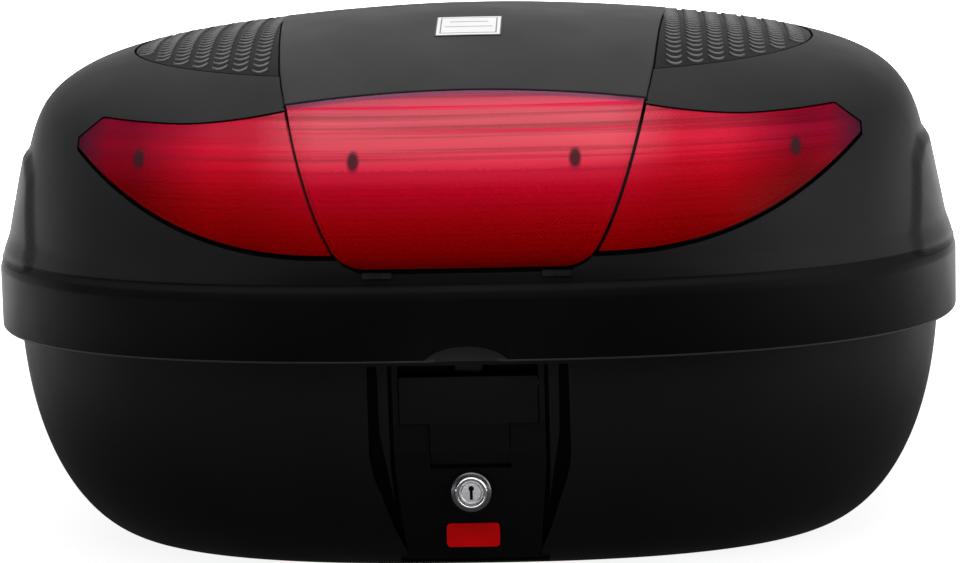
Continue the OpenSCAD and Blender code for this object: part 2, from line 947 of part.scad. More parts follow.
module base_hinge_screws() {
    color([0.6, 0.6, 0.62]) mirrored() hinge_screws(base_screw_end, leaf_y + leaf_thick, base_screw_z);
}

// ======== assembly ========

base_shell();
rim_seal();
lock_housing();
lock_cover();
cover_screws();
lock_barrel();
paddle_pin();
hook_pin();
lever_pin();
hinge_base_left();
hinge_base_right();
hinge_pins();
base_hinge_screws();
paddle_spring();
button_spring();
bolt_spring();
latch_paddle();
latch_hook();
key_plug();
lock_cam();
release_button();
release_lever();
plate_bolt();
lid_shell();
top_panel();
lens_left();
lens_centre();
lens_right();
reflector_left();
reflector_centre();
reflector_right();
lens_screws();
lens_clips();
grip_left();
grip_right();
label_plate();
striker();
striker_screws();
hinge_lid_left();
hinge_lid_right();
lid_hinge_screws();
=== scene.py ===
"""Motorcycle top case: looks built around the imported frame.

Shapes are in millimetres in the frame's axes (+Z up, lock side -Y), and scratch() and mesh() turn them
into metres. Materials, lights and the camera are in metres.
"""

import math

import bmesh
import bpy
import numpy as np
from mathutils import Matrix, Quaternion, Vector

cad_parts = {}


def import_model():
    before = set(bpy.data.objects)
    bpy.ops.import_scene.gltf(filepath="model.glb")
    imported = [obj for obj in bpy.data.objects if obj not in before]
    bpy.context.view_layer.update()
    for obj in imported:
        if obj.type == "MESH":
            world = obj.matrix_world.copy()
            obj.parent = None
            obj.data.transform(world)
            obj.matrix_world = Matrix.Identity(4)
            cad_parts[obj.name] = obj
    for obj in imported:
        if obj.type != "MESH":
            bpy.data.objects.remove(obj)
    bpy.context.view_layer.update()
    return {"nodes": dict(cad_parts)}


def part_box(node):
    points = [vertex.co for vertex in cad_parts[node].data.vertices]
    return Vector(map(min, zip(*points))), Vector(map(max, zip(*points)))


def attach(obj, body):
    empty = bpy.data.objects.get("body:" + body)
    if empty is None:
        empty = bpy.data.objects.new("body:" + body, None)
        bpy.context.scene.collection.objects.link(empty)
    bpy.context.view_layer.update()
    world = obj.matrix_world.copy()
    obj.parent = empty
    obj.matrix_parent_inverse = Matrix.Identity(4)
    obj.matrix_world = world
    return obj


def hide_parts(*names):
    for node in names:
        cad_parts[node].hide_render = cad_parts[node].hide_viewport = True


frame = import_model()

MM = 0.001
ROUND = 1e-9


def cad_box(node):
    """Lowest and highest corner of a CAD node, in millimetres."""
    low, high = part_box(node)
    return np.array(low) / MM, np.array(high) / MM


# ---- driving sizes, from the frame ----
lid_low, lid_high = cad_box("lid_shell")
base_low, base_high = cad_box("base_shell")
BAND_A = lid_high[0]
BAND_B = (lid_high[1] - lid_low[1]) / 2
BAND_LOW = lid_low[2]
BAND_TOP = BAND_LOW + 43
BASE_A = (base_high[0] - base_low[0]) / 2
BASE_B = -base_low[1]
RIM_TOP = base_high[2]

# ---- the case's shape, as in the frame's design ----
CASE_H = 320.0
LID_A = BAND_A - 6.5
LID_B = BAND_B - 5
LID_WALL = 3.5
FRONT_N = 2.64
BACK_N = 4.0
TOP_N = 2.33
TRAY = 11.0
LENS_PROUD = 0.5
LENS_THICK = 3.0
LENS_ROUND = 0.7
PAD_DEEP = 1.8
PAD_PROUD = 0.5
HINGE_X = 95.0
HINGE_W = 50.0
CLIP_X = (-50.0, 53.0)
SCREW_X = (64.0, 192.0)
SCREW_Z = 247.0

# ---- outlines of the lenses, the pads and the top panel ----
SEAM_TOP = 105.0
SEAM_LOW = 66.0
LENS_LOW = 188.0
LENS_HIGH = 283.0
LENS_CORNER = 9.0
TIP = 232.0
PAD_A = 209.0
PAD_B = 127.0
PAD_N = 2.5
PANEL_GAP = 1.0
PANEL_BACK = 172.0

# ---- grip ridges ----
PAD_LOW = 0.5
RIDGE_START = 122.8
RIDGE_COLUMNS = 7
RIDGE_PITCH = 12.6
RIDGE_ROW = 6.8
RIDGE_HALF = 4.6
RIDGE_TALL = 0.95

# ---- seats in the lid: how much larger than their pieces ----
SEAT_GROW = 0.8
CENTRE_CUT_BELOW = 1.6
SIDE_CUT_BELOW = 1.9
PAD_CUT = 1.5
PANEL_CUT_FRONT = 1.6
TRAY_GROW = 3.4
CLIP_SEAT = (8.6, -207.6, -204, 183.2, 186.8)

# ---- the lid's band ----
SEAT_LOW = 148.0
SEAT_TOP = 151.0
SKIRT_A = 288.5
SKIRT_B = 205.5
HINGE_SEAT_Y = 208.6
HINGE_SEAT_TOP = 169.5
LIFT = ((0, -217, BAND_LOW - 6), (32, 10, 17.5))

# ---- base ----
BASE_WALL = 3.2
BASE_FLOOR = 3.0
RECESS_DEEP = 5.5
RIDGE_DEEP = 2.5
HOUSING_TOP = 131.0
PANEL_EDGE = [(44.3, HOUSING_TOP + 0.3), (44.3, 70), (39.3, 7.7)]
SILL = (-44, 44, -157.6, -154.6, 5, 14)
PLATE_POCKET = (40, -124, -64, 14)
TONGUE_SLOT = (16, 70, 96, 11)
TONGUE_X = 70.0
BOLT_LOW, BOLT_TOP = 5.6, 12.4

# ---- lock: bore, shank and collar of the barrel ----
BORE_R = 7.4
RING_R = 9.0
COLLAR_Y = -189.4

# ---- angles in degrees above which an edge stays sharp, and is rounded ----
SPLIT_ANGLE = 35
BEVEL_ANGLE = 40

# ======== surfaces ========


def lid_size(h, d=0.0):
    """Height, half widths and exponents of the lid's ring at height fraction h, grown by d."""
    h = np.asarray(h, float)
    z = BAND_TOP + (CASE_H + d - BAND_TOP) * h
    a = (LID_A + d - 28 * h) * np.clip(1 - h**8, 0, 1) ** (1 / 1.342)
    bf = (LID_B + d - 20 * h) * np.clip(1 - h**2.5, 0, 1) ** 0.5
    bb = (LID_B + d - 8 * h) * np.clip(1 - h**4, 0, 1) ** 0.5
    nf = FRONT_N + (TOP_N - FRONT_N) * h
    nb = BACK_N + (2.4 - BACK_N) * h
    return z, a, bf, bb, nf, nb


def lid_front(x, z, d=0.0):
    """y of the lid's front at (x, z), grown by d."""
    h = np.clip((z - BAND_TOP) / (CASE_H + d - BAND_TOP), 0, 0.9999)
    _, a, bf, _, nf, _ = lid_size(h, d)
    return -bf * np.clip(1 - np.abs(x / a) ** nf, 0, 1) ** (1 / nf)


def lid_top(x, y, d=0.0):
    """z of the lid's top at (x, y), grown by d."""
    x, y = np.broadcast_arrays(np.asarray(x, float), np.asarray(y, float))
    lo = np.zeros(x.shape)
    hi = np.full(x.shape, 0.99999)
    for _ in range(40):
        mid = (lo + hi) / 2
        _, a, bf, bb, nf, nb = lid_size(mid, d)
        b = np.where(y < 0, bf, bb)
        n = np.where(y < 0, nf, nb)
        inside = np.abs(x / a) ** n + np.abs(y / b) ** n < 1
        lo = np.where(inside, mid, lo)
        hi = np.where(inside, hi, mid)
    return lid_size(lo, d)[0]


def base_size(z, d=0.0):
    """Half widths and exponents of the base's ring at height z, grown by d."""
    t = np.clip(1 - np.asarray(z, float) / BAND_LOW, 0, 1)
    roll = 1 - np.clip(1 - t**2.43, 0, 1) ** (1 / 1.83)
    a = BASE_A + d - 9 * t - 62 * roll
    b = BASE_B + d - 7 * t - 53 * roll
    return a, b, FRONT_N - 0.14 * t, BACK_N - t


def base_front(x, z, d=0.0):
    """y of the base's front at (x, z), grown by d."""
    a, b, nf, _ = base_size(z, d)
    return -b * np.clip(1 - np.abs(x / a) ** nf, 0, 1) ** (1 / nf)


# ======== mesh helpers ========


def mesh(name, verts, faces, body, mat, replaces, slot, smooth):
    """A new piece from points in millimetres, riding on a body."""
    data = bpy.data.meshes.new(name)
    data.from_pydata([tuple(v) for v in np.asarray(verts) * MM], [], faces)
    data.validate()
    obj = bpy.data.objects.new(name, data)
    bpy.context.scene.collection.objects.link(obj)
    finish_piece(obj, body, mat, replaces, smooth)
    return obj


def finish_piece(obj, body, mat, replaces, smooth=SPLIT_ANGLE):
    """Material, body and CAD nodes of a piece; edges sharper than smooth degrees stay sharp."""
    obj.data.materials.clear()
    obj.data.materials.append(mat)
    for p in obj.data.polygons:
        p.use_smooth = True
    mod = obj.modifiers.new("edges", "EDGE_SPLIT")
    mod.split_angle = math.radians(smooth)
    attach(obj, body)
    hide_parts(*replaces)


def modifier(obj, kind, **values):
    """Adds a modifier with these settings."""
    mod = obj.modifiers.new(kind.lower(), kind)
    for key, value in values.items():
        setattr(mod, key, value)


def bevel(obj, width, segments):
    """Adds a bevel, width in millimetres, on the object's sharp edges."""
    modifier(obj, "BEVEL", width=width * MM, segments=segments, limit_method="ANGLE",
             angle_limit=math.radians(BEVEL_ANGLE))


def bake_modifiers(obj):
    """Applies the object's modifiers to its mesh."""
    graph = bpy.context.evaluated_depsgraph_get()
    data = bpy.data.meshes.new_from_object(obj.evaluated_get(graph))
    obj.modifiers.clear()
    obj.data = data


def scratch(name, verts, faces):
    """Closed solid whose faces all look outwards, not yet riding on a body."""
    data = bpy.data.meshes.new(name)
    data.from_pydata([tuple(v) for v in np.asarray(verts) * MM], [], faces)
    shape = bmesh.new()
    shape.from_mesh(data)
    bmesh.ops.recalc_face_normals(shape, faces=shape.faces)
    shape.to_mesh(data)
    shape.free()
    obj = bpy.data.objects.new(name, data)
    bpy.context.scene.collection.objects.link(obj)
    return obj


def combine(obj, operation, tools):
    """Adds the tools to obj or cuts them from it, in turn, and removes them."""
    for other in tools:
        modifier(obj, "BOOLEAN", operation=operation, object=other, solver="EXACT")
        bake_modifiers(obj)
        bpy.data.objects.remove(other)


def tool(data):
    """A scratch solid to add or cut with."""
    return scratch("tool", *data)


def both(data):
    """A tool and its mirror image in x."""
    return [tool(data), tool(mirror_x(*data))]


def mirror_x(verts, faces):
    """Mirror image in x, its faces turned to look outwards again."""
    v = np.array(verts) * (-1, 1, 1)
    return v, [f[::-1] for f in faces]


def sheet_faces(nu, nv, start=0, flip=False):
    """Quads of an nu by nv grid of points, the first index running slowest."""
    out = []
    for i in range(nu - 1):
        for j in range(nv - 1):
            a = start + i * nv + j
            q = (a, a + nv, a + nv + 1, a + 1)
            out.append(q[::-1] if flip else q)
    return out


def slab(outer, inner, flip=False):
    """Closed solid between two matching grids of points, shape (nu, nv, 3)."""
    nu, nv = outer.shape[:2]
    verts = np.concatenate([outer.reshape(-1, 3), inner.reshape(-1, 3)])
    n = nu * nv
    faces = sheet_faces(nu, nv, 0, flip) + sheet_faces(nu, nv, n, not flip)
    loop = [i * nv for i in range(nu)] + [(nu - 1) * nv + j for j in range(1, nv)]
    loop += [i * nv + nv - 1 for i in range(nu - 2, -1, -1)] + [j for j in range(nv - 2, 0, -1)]
    for k, a in enumerate(loop):
        b = loop[(k + 1) % len(loop)]
        q = (a, a + n, b + n, b)
        faces.append(q if flip else q[::-1])
    return verts, faces


def box_mesh(x0, x1, y0, y1, z0, z1):
    """Plain box, to add or cut with."""
    v = [(x, y, z) for x in (x0, x1) for y in (y0, y1) for z in (z0, z1)]
    f = [(0, 1, 3, 2), (4, 6, 7, 5), (0, 4, 5, 1), (2, 3, 7, 6), (0, 2, 6, 4), (1, 5, 7, 3)]
    return v, f


def prism(outline, y0, y1):
    """Solid with an outline given as (x, z) points, from y0 to y1."""
    n = len(outline)
    verts = [(x, y, z) for y in (y0, y1) for x, z in outline]
    faces = [tuple(range(n)), tuple(range(2 * n - 1, n - 1, -1))]
    faces += [(i, i + n, (i + 1) % n + n, (i + 1) % n) for i in range(n)]
    return verts, faces


def ring_faces(rings, m, closed=False):
    """Quads between neighbouring rings of m points, also from the last to the first if closed."""
    return [(k * m + i, k * m + (i + 1) % m, (k + 1) % rings * m + (i + 1) % m, (k + 1) % rings * m + i)
            for k in range(rings if closed else rings - 1) for i in range(m)]


def ellipsoid(centre, radii):
    """Closed ellipsoid with flat ends near its poles."""
    m = 48
    rows = [(math.sin(t), math.cos(t)) for t in np.linspace(-1.5, 1.5, m // 2)]
    turn = np.linspace(0, 2 * np.pi, m, endpoint=False)
    rings = [np.stack([np.cos(turn) * c, np.sin(turn) * c, np.full(m, s)], -1) for s, c in rows]
    verts = np.concatenate(rings) * radii + centre
    last = (len(rows) - 1) * m
    return verts, ring_faces(len(rows), m) + [tuple(range(m)), tuple(range(last, last + m))]


def rod_y(x, z, radius, y0, y1):
    """Round rod along Y."""
    turn = np.linspace(0, 2 * np.pi, 32, endpoint=False)
    return prism([(x + radius * math.cos(t), z + radius * math.sin(t)) for t in turn], y0, y1)


def ring_angles(count):
    """Angles that space a rim-shaped ring's points evenly."""
    u = np.linspace(0, 2 * np.pi, 40001)
    p = ring_points(u, LID_A, LID_B, LID_B, FRONT_N, BACK_N)
    s = np.concatenate([[0], np.cumsum(np.hypot(*np.diff(p, axis=0).T))])
    return np.interp(np.linspace(0, s[-1], count, endpoint=False), s, u)


def ring_points(u, a, bf, bb, nf, nb):
    """Points (x, y) of a superellipse with its own depth and exponent at the front and at the back."""
    c, s = np.cos(u), np.sin(u)
    n = np.where(s < 0, nf, nb)
    b = np.where(s < 0, bf, bb)
    x = a * np.sign(c) * np.abs(c) ** (2 / n)
    y = b * np.sign(s) * np.abs(s) ** (2 / n)
    return np.stack([x, y], -1)


def loft(rows, angles):
    """Closed solid through rows (z, a, bf, bb, nf, nb) from one pole to the other."""
    m = len(angles)
    rings = [np.column_stack([ring_points(angles, *r[1:]), np.full(m, r[0])]) for r in rows]
    verts = np.concatenate(rings + [[[0, 0, rows[0][0]]], [[0, 0, rows[-1][0]]]])
    first, last = len(rows) * m, len(rows) * m + 1
    faces = ring_faces(len(rows), m)
    end = (len(rows) - 1) * m
    for i in range(m):
        j = (i + 1) % m
        faces.append((first, j, i))
        faces.append((last, end + i, end + j))
    return verts, faces


def soften(rows, size):
    """Rounds each corner of a profile of rows with a short curve about size long."""
    rows = [np.array(r, float) for r in rows]
    out = [rows[0]]
    for before, here, after in zip(rows, rows[1:], rows[2:]):
        back, ahead = before - here, after - here
        lb, la = np.hypot(back[0], back[1]), np.hypot(ahead[0], ahead[1])
        p = here + back * min(0.45, size / max(lb, ROUND))
        q = here + ahead * min(0.45, size / max(la, ROUND))
        out += [(1 - t) ** 2 * p + 2 * t * (1 - t) * here + t * t * q for t in (0, 0.33, 0.67, 1)]
    return out + [rows[-1]]


# ======== materials ========


class Nodes:
    """Short way to build a material's node tree."""

    def __init__(self, name):
        self.mat = bpy.data.materials.new(name)
        self.mat.use_nodes = True
        self.tree = self.mat.node_tree
        self.bsdf = self.tree.nodes["Principled BSDF"]

    def add(self, kind, **values):
        """A node with these inputs or settings."""
        n = self.tree.nodes.new(kind)
        for key, value in values.items():
            if key in n.inputs:
                n.inputs[key].default_value = value
            else:
                setattr(n, key, value)
        return n

    def link(self, a, b):
        """Links an output to an input."""
        self.tree.links.new(a, b)

    def feed(self, sock, v):
        """Gives an input a colour, a number or a link."""
        if isinstance(v, tuple):
            sock.default_value = (*v, 1)
        elif isinstance(v, (int, float)):
            sock.default_value = v
        else:
            self.link(v, sock)

    def place(self, scale=(1, 1, 1)):
        """Object coordinates in metres, stretched by scale."""
        co = self.add("ShaderNodeTexCoord")
        mp = self.add("ShaderNodeMapping")
        mp.inputs["Scale"].default_value = scale
        self.link(co.outputs["Object"], mp.inputs["Vector"])
        return mp.outputs["Vector"]

    def noise(self, scale, detail=3.0, stretch=(1, 1, 1)):
        """Noise from 0 to 1."""
        n = self.add("ShaderNodeTexNoise", Scale=scale, Detail=detail, Roughness=0.5)
        self.link(self.place(stretch), n.inputs["Vector"])
        return n.outputs["Fac"]

    def ramp(self, fac, stops):
        """Colour ramp through stops of (position, colour)."""
        r = self.add("ShaderNodeValToRGB")
        e = r.color_ramp.elements
        while len(e) < len(stops):
            e.new(0.5)
        for el, (pos, col) in zip(e, stops):
            el.position = pos
            el.color = (*col, 1) if len(col) == 3 else col
        self.link(fac, r.inputs["Fac"])
        return r.outputs["Color"]

    def bump(self, height, strength, distance, normal=None):
        """Bump on top of another normal."""
        b = self.add("ShaderNodeBump", Strength=strength, Distance=distance)
        self.link(height, b.inputs["Height"])
        if normal is not None:
            self.link(normal, b.inputs["Normal"])
        return b.outputs["Normal"]

    def math(self, op, a, b=None):
        """Math node; a and b are sockets or numbers."""
        m = self.add("ShaderNodeMath", operation=op)
        self.feed(m.inputs[0], a)
        if b is not None:
            self.feed(m.inputs[1], b)
        return m.outputs[0]

    def axis(self, name):
        """One object coordinate, in metres."""
        co = self.add("ShaderNodeTexCoord")
        s = self.add("ShaderNodeSeparateXYZ")
        self.link(co.outputs["Object"], s.inputs[0])
        return s.outputs[name]

    def span(self, value, lo, hi):
        """value mapped from lo..hi to 0..1, clamped."""
        m = self.add("ShaderNodeMapRange")
        m.inputs["From Min"].default_value = lo
        m.inputs["From Max"].default_value = hi
        self.link(value, m.inputs["Value"])
        return m.outputs[0]

    def mix(self, fac, a, b, blend="MIX"):
        """Colour mix from a to b; a, b and fac are sockets or plain values."""
        m = self.add("ShaderNodeMix", data_type="RGBA", blend_type=blend)
        for sock, v in ((0, fac), (6, a), (7, b)):
            self.feed(m.inputs[sock], v)
        return m.outputs[2]

    def set(self, **values):
        """Sets or links the shader's inputs, and returns the material."""
        names = {"color": "Base Color", "rough": "Roughness", "metal": "Metallic",
                 "spec": "Specular IOR Level", "ior": "IOR", "normal": "Normal", "alpha": "Alpha"}
        for key, v in values.items():
            self.feed(self.bsdf.inputs[names[key]], v)
        return self.mat


def painted_shade_under_lens(n):
    """Painted shade on the lid just below the centre lens, fading out to its sides."""
    front = n.math("SUBTRACT", 1.0, n.span(n.axis("Y"), -0.12, -0.08))
    low = n.math("SUBTRACT", 1.0, n.span(n.axis("Z"), 0.184, 0.198))
    middle = n.math("SUBTRACT", 1.0, n.span(n.math("ABSOLUTE", n.axis("X")), 0.085, 0.155))
    return n.math("MULTIPLY", n.math("MULTIPLY", front, low), n.math("MULTIPLY", middle, 0.85))


def moulded(name, dark, light, rough, grain, spec=0.35, shade=None):
    """Moulded black plastic: fine grain, faint cloudy colour and gloss changes; shade, when given, paints
    shade into the colour.
    """
    n = Nodes(name)
    cloud = n.noise(9, 4)
    color = n.ramp(cloud, [(0.3, dark), (0.7, light)])
    if shade:
        color = n.mix(shade(n), color, (0.0, 0.0, 0.0))
    shine = n.ramp(n.noise(22, 3), [(0.3, (rough - 0.04,) * 3), (0.7, (rough + 0.05,) * 3)])
    fine = n.noise(1500, 2)
    coarse = n.noise(520, 2)
    normal = n.bump(fine, grain, 0.00012)
    normal = n.bump(coarse, grain * 0.6, 0.0002, normal)
    return n.set(color=color, rough=shine, spec=spec, normal=normal)


def streaks(n, floor):
    """Long level lines across the lens, from floor to 1."""
    broad = n.ramp(n.noise(40, 1, (0.1, 0.1, 2.5)), [(0.38, (0.86, 0.86, 0.86)), (0.56, (1, 1, 1))])
    fine = n.ramp(n.noise(60, 2, (0.05, 0.05, 10)), [(0.36, (floor,) * 3), (0.46, (1, 1, 1))])
    return n.mix(1.0, broad, fine, "MULTIPLY")


# The lens's purple top rim starts where z + RIM_BEND * x * x reaches RIM_START, in metres.
RIM_BEND = 0.59
RIM_START = 0.2798
WHITE = (1.0, 1.0, 1.0)


def lens_color(n):
    """Red that is pale and hot near the lens's top, deep below, and duller towards its tips; the rise from
    deep to pale is partly the lens's own banding and partly painted light from above.
    """
    z = n.axis("Z")
    x = n.math("ABSOLUTE", n.axis("X"))
    # Ramp up the lens: partly the lens's own banding, partly painted light from above.
    red = n.ramp(n.span(z, LENS_LOW * MM, LENS_HIGH * MM), [
        (0.0, (0.16, 0.0, 0.0)), (0.09, (0.36, 0.0, 0.0)), (0.30, (0.54, 0.0, 0.005)),
        (0.46, (0.70, 0.0, 0.022)), (0.56, (0.92, 0.02, 0.07)), (0.66, (1.0, 0.095, 0.145)),
        (0.84, (1.0, 0.15, 0.2)), (1.0, (0.85, 0.10, 0.16))])
    upper = n.span(z, 0.230, 0.246)
    red = n.mix(1.0, red, n.mix(upper, WHITE, streaks(n, 0.66)), "MULTIPLY")
    hot = n.ramp(n.noise(60, 2, (0.04, 0.04, 7)), [(0.56, (0, 0, 0)), (0.62, (1, 1, 1))])
    hot = n.math("MULTIPLY", n.mix(1.0, hot, (0.92, 0.92, 0.92), "MULTIPLY"), upper)
    red = n.mix(hot, red, (1.0, 0.006, 0.08))
    grain = n.ramp(n.noise(1000, 1), [(0.36, (0.8, 0.8, 0.8)), (0.6, (1, 1, 1))])
    red = n.mix(1.0, red, n.mix(upper, grain, WHITE), "MULTIPLY")
    near = n.math("MINIMUM", x, SEAM_TOP * MM)
    arch = n.math("ADD", z, n.math("MULTIPLY", n.math("MULTIPLY", near, near), RIM_BEND))
    red = n.mix(n.span(arch, RIM_START, RIM_START + 0.0024), red, (0.34, 0.10, 0.20))
    red = n.mix(n.span(x, 0.085, 0.125), red, n.mix(1.0, red, (0.82, 0.1, 0.3), "MULTIPLY"))
    red = n.mix(n.span(x, 0.150, 0.195), red, n.mix(1.0, red, (0.42, 0.1, 0.5), "MULTIPLY"))
    return n.mix(n.span(x, 0.212, 0.230), red, (0.10, 0.012, 0.035))


def screw_shade(n):
    """1 over the heads of the four screws that hold the lens, with soft edges."""
    x = n.math("ABSOLUTE", n.axis("X"))
    z = n.axis("Z")
    up = n.math("DIVIDE", n.math("SUBTRACT", z, SCREW_Z * MM), 1.55)
    total = None
    for place in SCREW_X:
        side = n.math("SUBTRACT", x, place * MM)
        far = n.math("SQRT", n.math("ADD", n.math("MULTIPLY", side, side), n.math("MULTIPLY", up, up)))
        spot = n.math("SUBTRACT", 1.0, n.span(far, 0.0024, 0.0042))
        total = spot if total is None else n.math("MAXIMUM", total, spot)
    return total


def lens_material():
    """Tinted lens with fine level lines; the screws behind it show through as dull spots."""
    n = Nodes("lens_red")
    color = n.mix(n.math("MULTIPLY", screw_shade(n), 0.9), lens_color(n), (0.03, 0.014, 0.02))
    normal = n.bump(n.noise(900, 2, (1, 1, 3)), 0.08, 0.0002)
    return n.set(color=color, rough=0.17, ior=1.49, spec=0.03, alpha=0.5, normal=normal)


def reflector_material():
    """Metallised reflector behind the lens, with stippled rows."""
    n = Nodes("reflector")
    # The reflector takes the lens's red, with its painted light from above.
    color = n.mix(1.0, lens_color(n), streaks(n, 0.6), "MULTIPLY")
    rows = n.math("SINE", n.math("MULTIPLY", n.axis("Z"), 2 * math.pi / 0.0024))
    dots = n.math("SINE", n.math("MULTIPLY", n.axis("X"), 2 * math.pi / 0.0030))
    spots = n.ramp(n.math("MULTIPLY", rows, dots), [(0.0, (0.6, 0.6, 0.6)), (0.35, (1, 1, 1))])
    color = n.mix(1.0, color, spots, "MULTIPLY")
    color = n.mix(screw_shade(n), color, (0.02, 0.01, 0.015))
    return n.set(color=color, rough=0.4, spec=0.1)


def plain(name, color, rough, metal=0.0, spec=0.5, grain=0.05, stretch=(1, 1, 1)):
    """Small part's finish: colour with a faint mottling, and a fine surface."""
    n = Nodes(name)
    dark = tuple(c * 0.8 for c in color)
    tint = n.ramp(n.noise(60, 3), [(0.3, dark), (0.7, color)])
    shine = n.ramp(n.noise(90, 3, stretch), [(0.3, (rough * 0.8,) * 3), (0.7, (rough * 1.2,) * 3)])
    normal = n.bump(n.noise(700, 2, stretch), grain, 0.0001)
    return n.set(color=tint, rough=shine, metal=metal, spec=spec, normal=normal)


def label_material():
    """Plain printed plate: white, with a thin grey frame and two ruled lines, and a near-black rim of
    painted shade along its edge.
    """
    n = Nodes("label_white")
    low, high = cad_box("label_plate")
    middle, half = (low + high) / 2 * MM, (high - low) / 2 * MM
    x = n.math("ABSOLUTE", n.math("SUBTRACT", n.axis("X"), middle[0]))
    y = n.math("SUBTRACT", n.axis("Y"), middle[1])

    def outside(across, up, half_x, half_y):
        """How far a point is outside a rectangle."""
        return n.math("MAXIMUM", n.math("SUBTRACT", across, half_x), n.math("SUBTRACT", up, half_y))

    along = n.math("ABSOLUTE", y)
    edge = n.math("ABSOLUTE", outside(x, along, half[0] - 0.0032, half[1] - 0.0036))
    line = n.ramp(n.math("DIVIDE", edge, 0.002), [(0.16, (1, 1, 1)), (0.26, (0, 0, 0))])
    for place, reach in ((0.006, 0.0115), (-0.003, 0.0145)):
        off = outside(x, n.math("ABSOLUTE", n.math("SUBTRACT", y, place)), reach, 0.0008)
        rule = n.ramp(n.math("ADD", n.math("DIVIDE", off, 0.001), 0.5),
                      [(0.45, (0.7, 0.7, 0.7)), (0.6, (0, 0, 0))])
        line = n.mix(1.0, line, rule, "LIGHTEN")
    white = n.ramp(n.noise(60, 3), [(0.3, (0.68, 0.68, 0.68)), (0.7, (0.72, 0.72, 0.72))])
    color = n.mix(line, white, (0.2, 0.2, 0.21))
    # Near-black band along the plate's edge: painted shade of the gap around it.
    rim = n.span(outside(x, along, half[0], half[1]), -0.0011, -0.0006)
    color = n.mix(rim, color, (0.03, 0.03, 0.03))
    return n.set(color=color, rough=0.45, spec=0.3, normal=n.bump(n.noise(700, 2), 0.05, 0.0001))


# The lid's black, with painted shade just below the centre lens.
LID_BLACK = moulded("lid_black", (0.007, 0.007, 0.0075), (0.011, 0.011, 0.0115), 0.5, 0.25, 0.12,
                    painted_shade_under_lens)
# The lid's black made darker for the band: black plastic with painted shade.
BAND_PAINTED_SHADE = moulded("band_painted_shade", (0.0015, 0.0015, 0.0017), (0.003, 0.003, 0.0032), 0.45, 0.2, 0.06)
BASE_BLACK = moulded("base_black", (0.006, 0.006, 0.0064), (0.009, 0.009, 0.0094), 0.52, 0.22, 0.12)
PANEL_BLACK = moulded("panel_black", (0.011, 0.011, 0.0115), (0.015, 0.015, 0.0155), 0.5, 0.28, 0.175)
# The pad's black plate, painted darker than the lid as shade between its ridges.
PAD_BLACK_PAINTED_SHADE = moulded("pad_black_painted_shade", (0.004, 0.004, 0.0044), (0.006, 0.006, 0.0064), 0.5, 0.2, 0.07)
# A much lighter, glossier copy of the black for the grip ridges: painted highlight.
RIDGE_PAINTED_HIGHLIGHT = moulded("ridge_painted_highlight", (0.045, 0.045, 0.046), (0.065, 0.065, 0.066), 0.36, 0.15, 0.6)
LOCK_BLACK = moulded("lock_black", (0.005, 0.005, 0.0055), (0.008, 0.008, 0.0085), 0.42, 0.12, 0.06)
# Near-black for the inside of the keyhole: painted shade.
SLOT_PAINTED_SHADE = moulded("slot_painted_shade", (0.004, 0.004, 0.004), (0.006, 0.006, 0.006), 0.5, 0.1, 0.1)
COLLAR_GREY = plain("collar_grey", (0.3, 0.3, 0.32), 0.28, 1.0)
# Near-black for the lens tray and the seats of the pads and panel: painted shade in these gaps.
GAP_PAINTED_SHADE = moulded("gap_painted_shade", (0.0015, 0.0015, 0.0015), (0.002, 0.002, 0.002), 0.7, 0.1, 0.02)
# A lighter, glossier copy of the black for the band's lower edge: painted highlight.
EDGE_PAINTED_HIGHLIGHT = moulded("edge_painted_highlight", (0.03, 0.03, 0.031), (0.04, 0.04, 0.041), 0.34, 0.1, 0.6)
# A darker copy of the base's black for the recess around the lock panel: painted shade.
RECESS_PAINTED_SHADE = moulded("recess_painted_shade", (0.002, 0.002, 0.0022), (0.003, 0.003, 0.0033), 0.5, 0.1, 0.03)
# A lighter, glossier copy of the black for the finger lift's scoop: painted highlight.
LIFT_PAINTED_HIGHLIGHT = moulded("lift_painted_highlight", (0.018, 0.018, 0.019), (0.025, 0.025, 0.026), 0.42, 0.1, 0.3)
HINGE_BLACK = moulded("hinge_black", (0.012, 0.012, 0.013), (0.016, 0.016, 0.017), 0.45, 0.15)
LENS_RED = lens_material()
REFLECTOR = reflector_material()
SCREW_DARK = plain("screw_dark", (0.02, 0.012, 0.014), 0.5)
RUBBER = plain("seal_rubber", (0.012, 0.012, 0.012), 0.8)
CHROME = plain("chrome", (0.82, 0.82, 0.84), 0.09, 1.0)
FACE_METAL = plain("face_metal", (0.62, 0.62, 0.64), 0.34, 1.0, grain=0.2, stretch=(1, 1, 8))
STEEL = plain("steel", (0.5, 0.5, 0.52), 0.3, 1.0)
STEEL_DARK = plain("steel_dark", (0.06, 0.06, 0.065), 0.45, 1.0)
CLIP_METAL = plain("clip_metal", (0.06, 0.058, 0.062), 0.3, 1.0)
BUTTON_RED = plain("button_red", (1.0, 0.002, 0.004), 0.3, spec=0.06, grain=0.1)
LABEL_WHITE = label_material()

# ======== outlines ========


def seam(z):
    """Half width of the centre lens at height z."""
    return SEAM_LOW + (SEAM_TOP - SEAM_LOW) * np.clip((z - LENS_LOW) / 88, 0, 1.4) ** 0.62


def side_low(x):
    """Height of the side lens's lower edge at x."""
    return 196 + 55 * np.clip((x - 78) / 154, 0, 2) ** 2.3


def side_high(x):
    """Height of the side lens's upper edge at x, with its cut tip."""
    z = 266 + 7.2 * np.clip((168 - x) / 63, 0, 2) ** 1.6 + 1.6 * np.clip((x - 168) / 49, 0, 1) ** 2
    return np.where(x > 217, 267.6 - 11.6 * (x - 217) / 15, z)


def centre_high(x):
    """Height of the centre lens's upper edge at x."""
    return 282.4 - 6.4 * (x / 104) ** 2


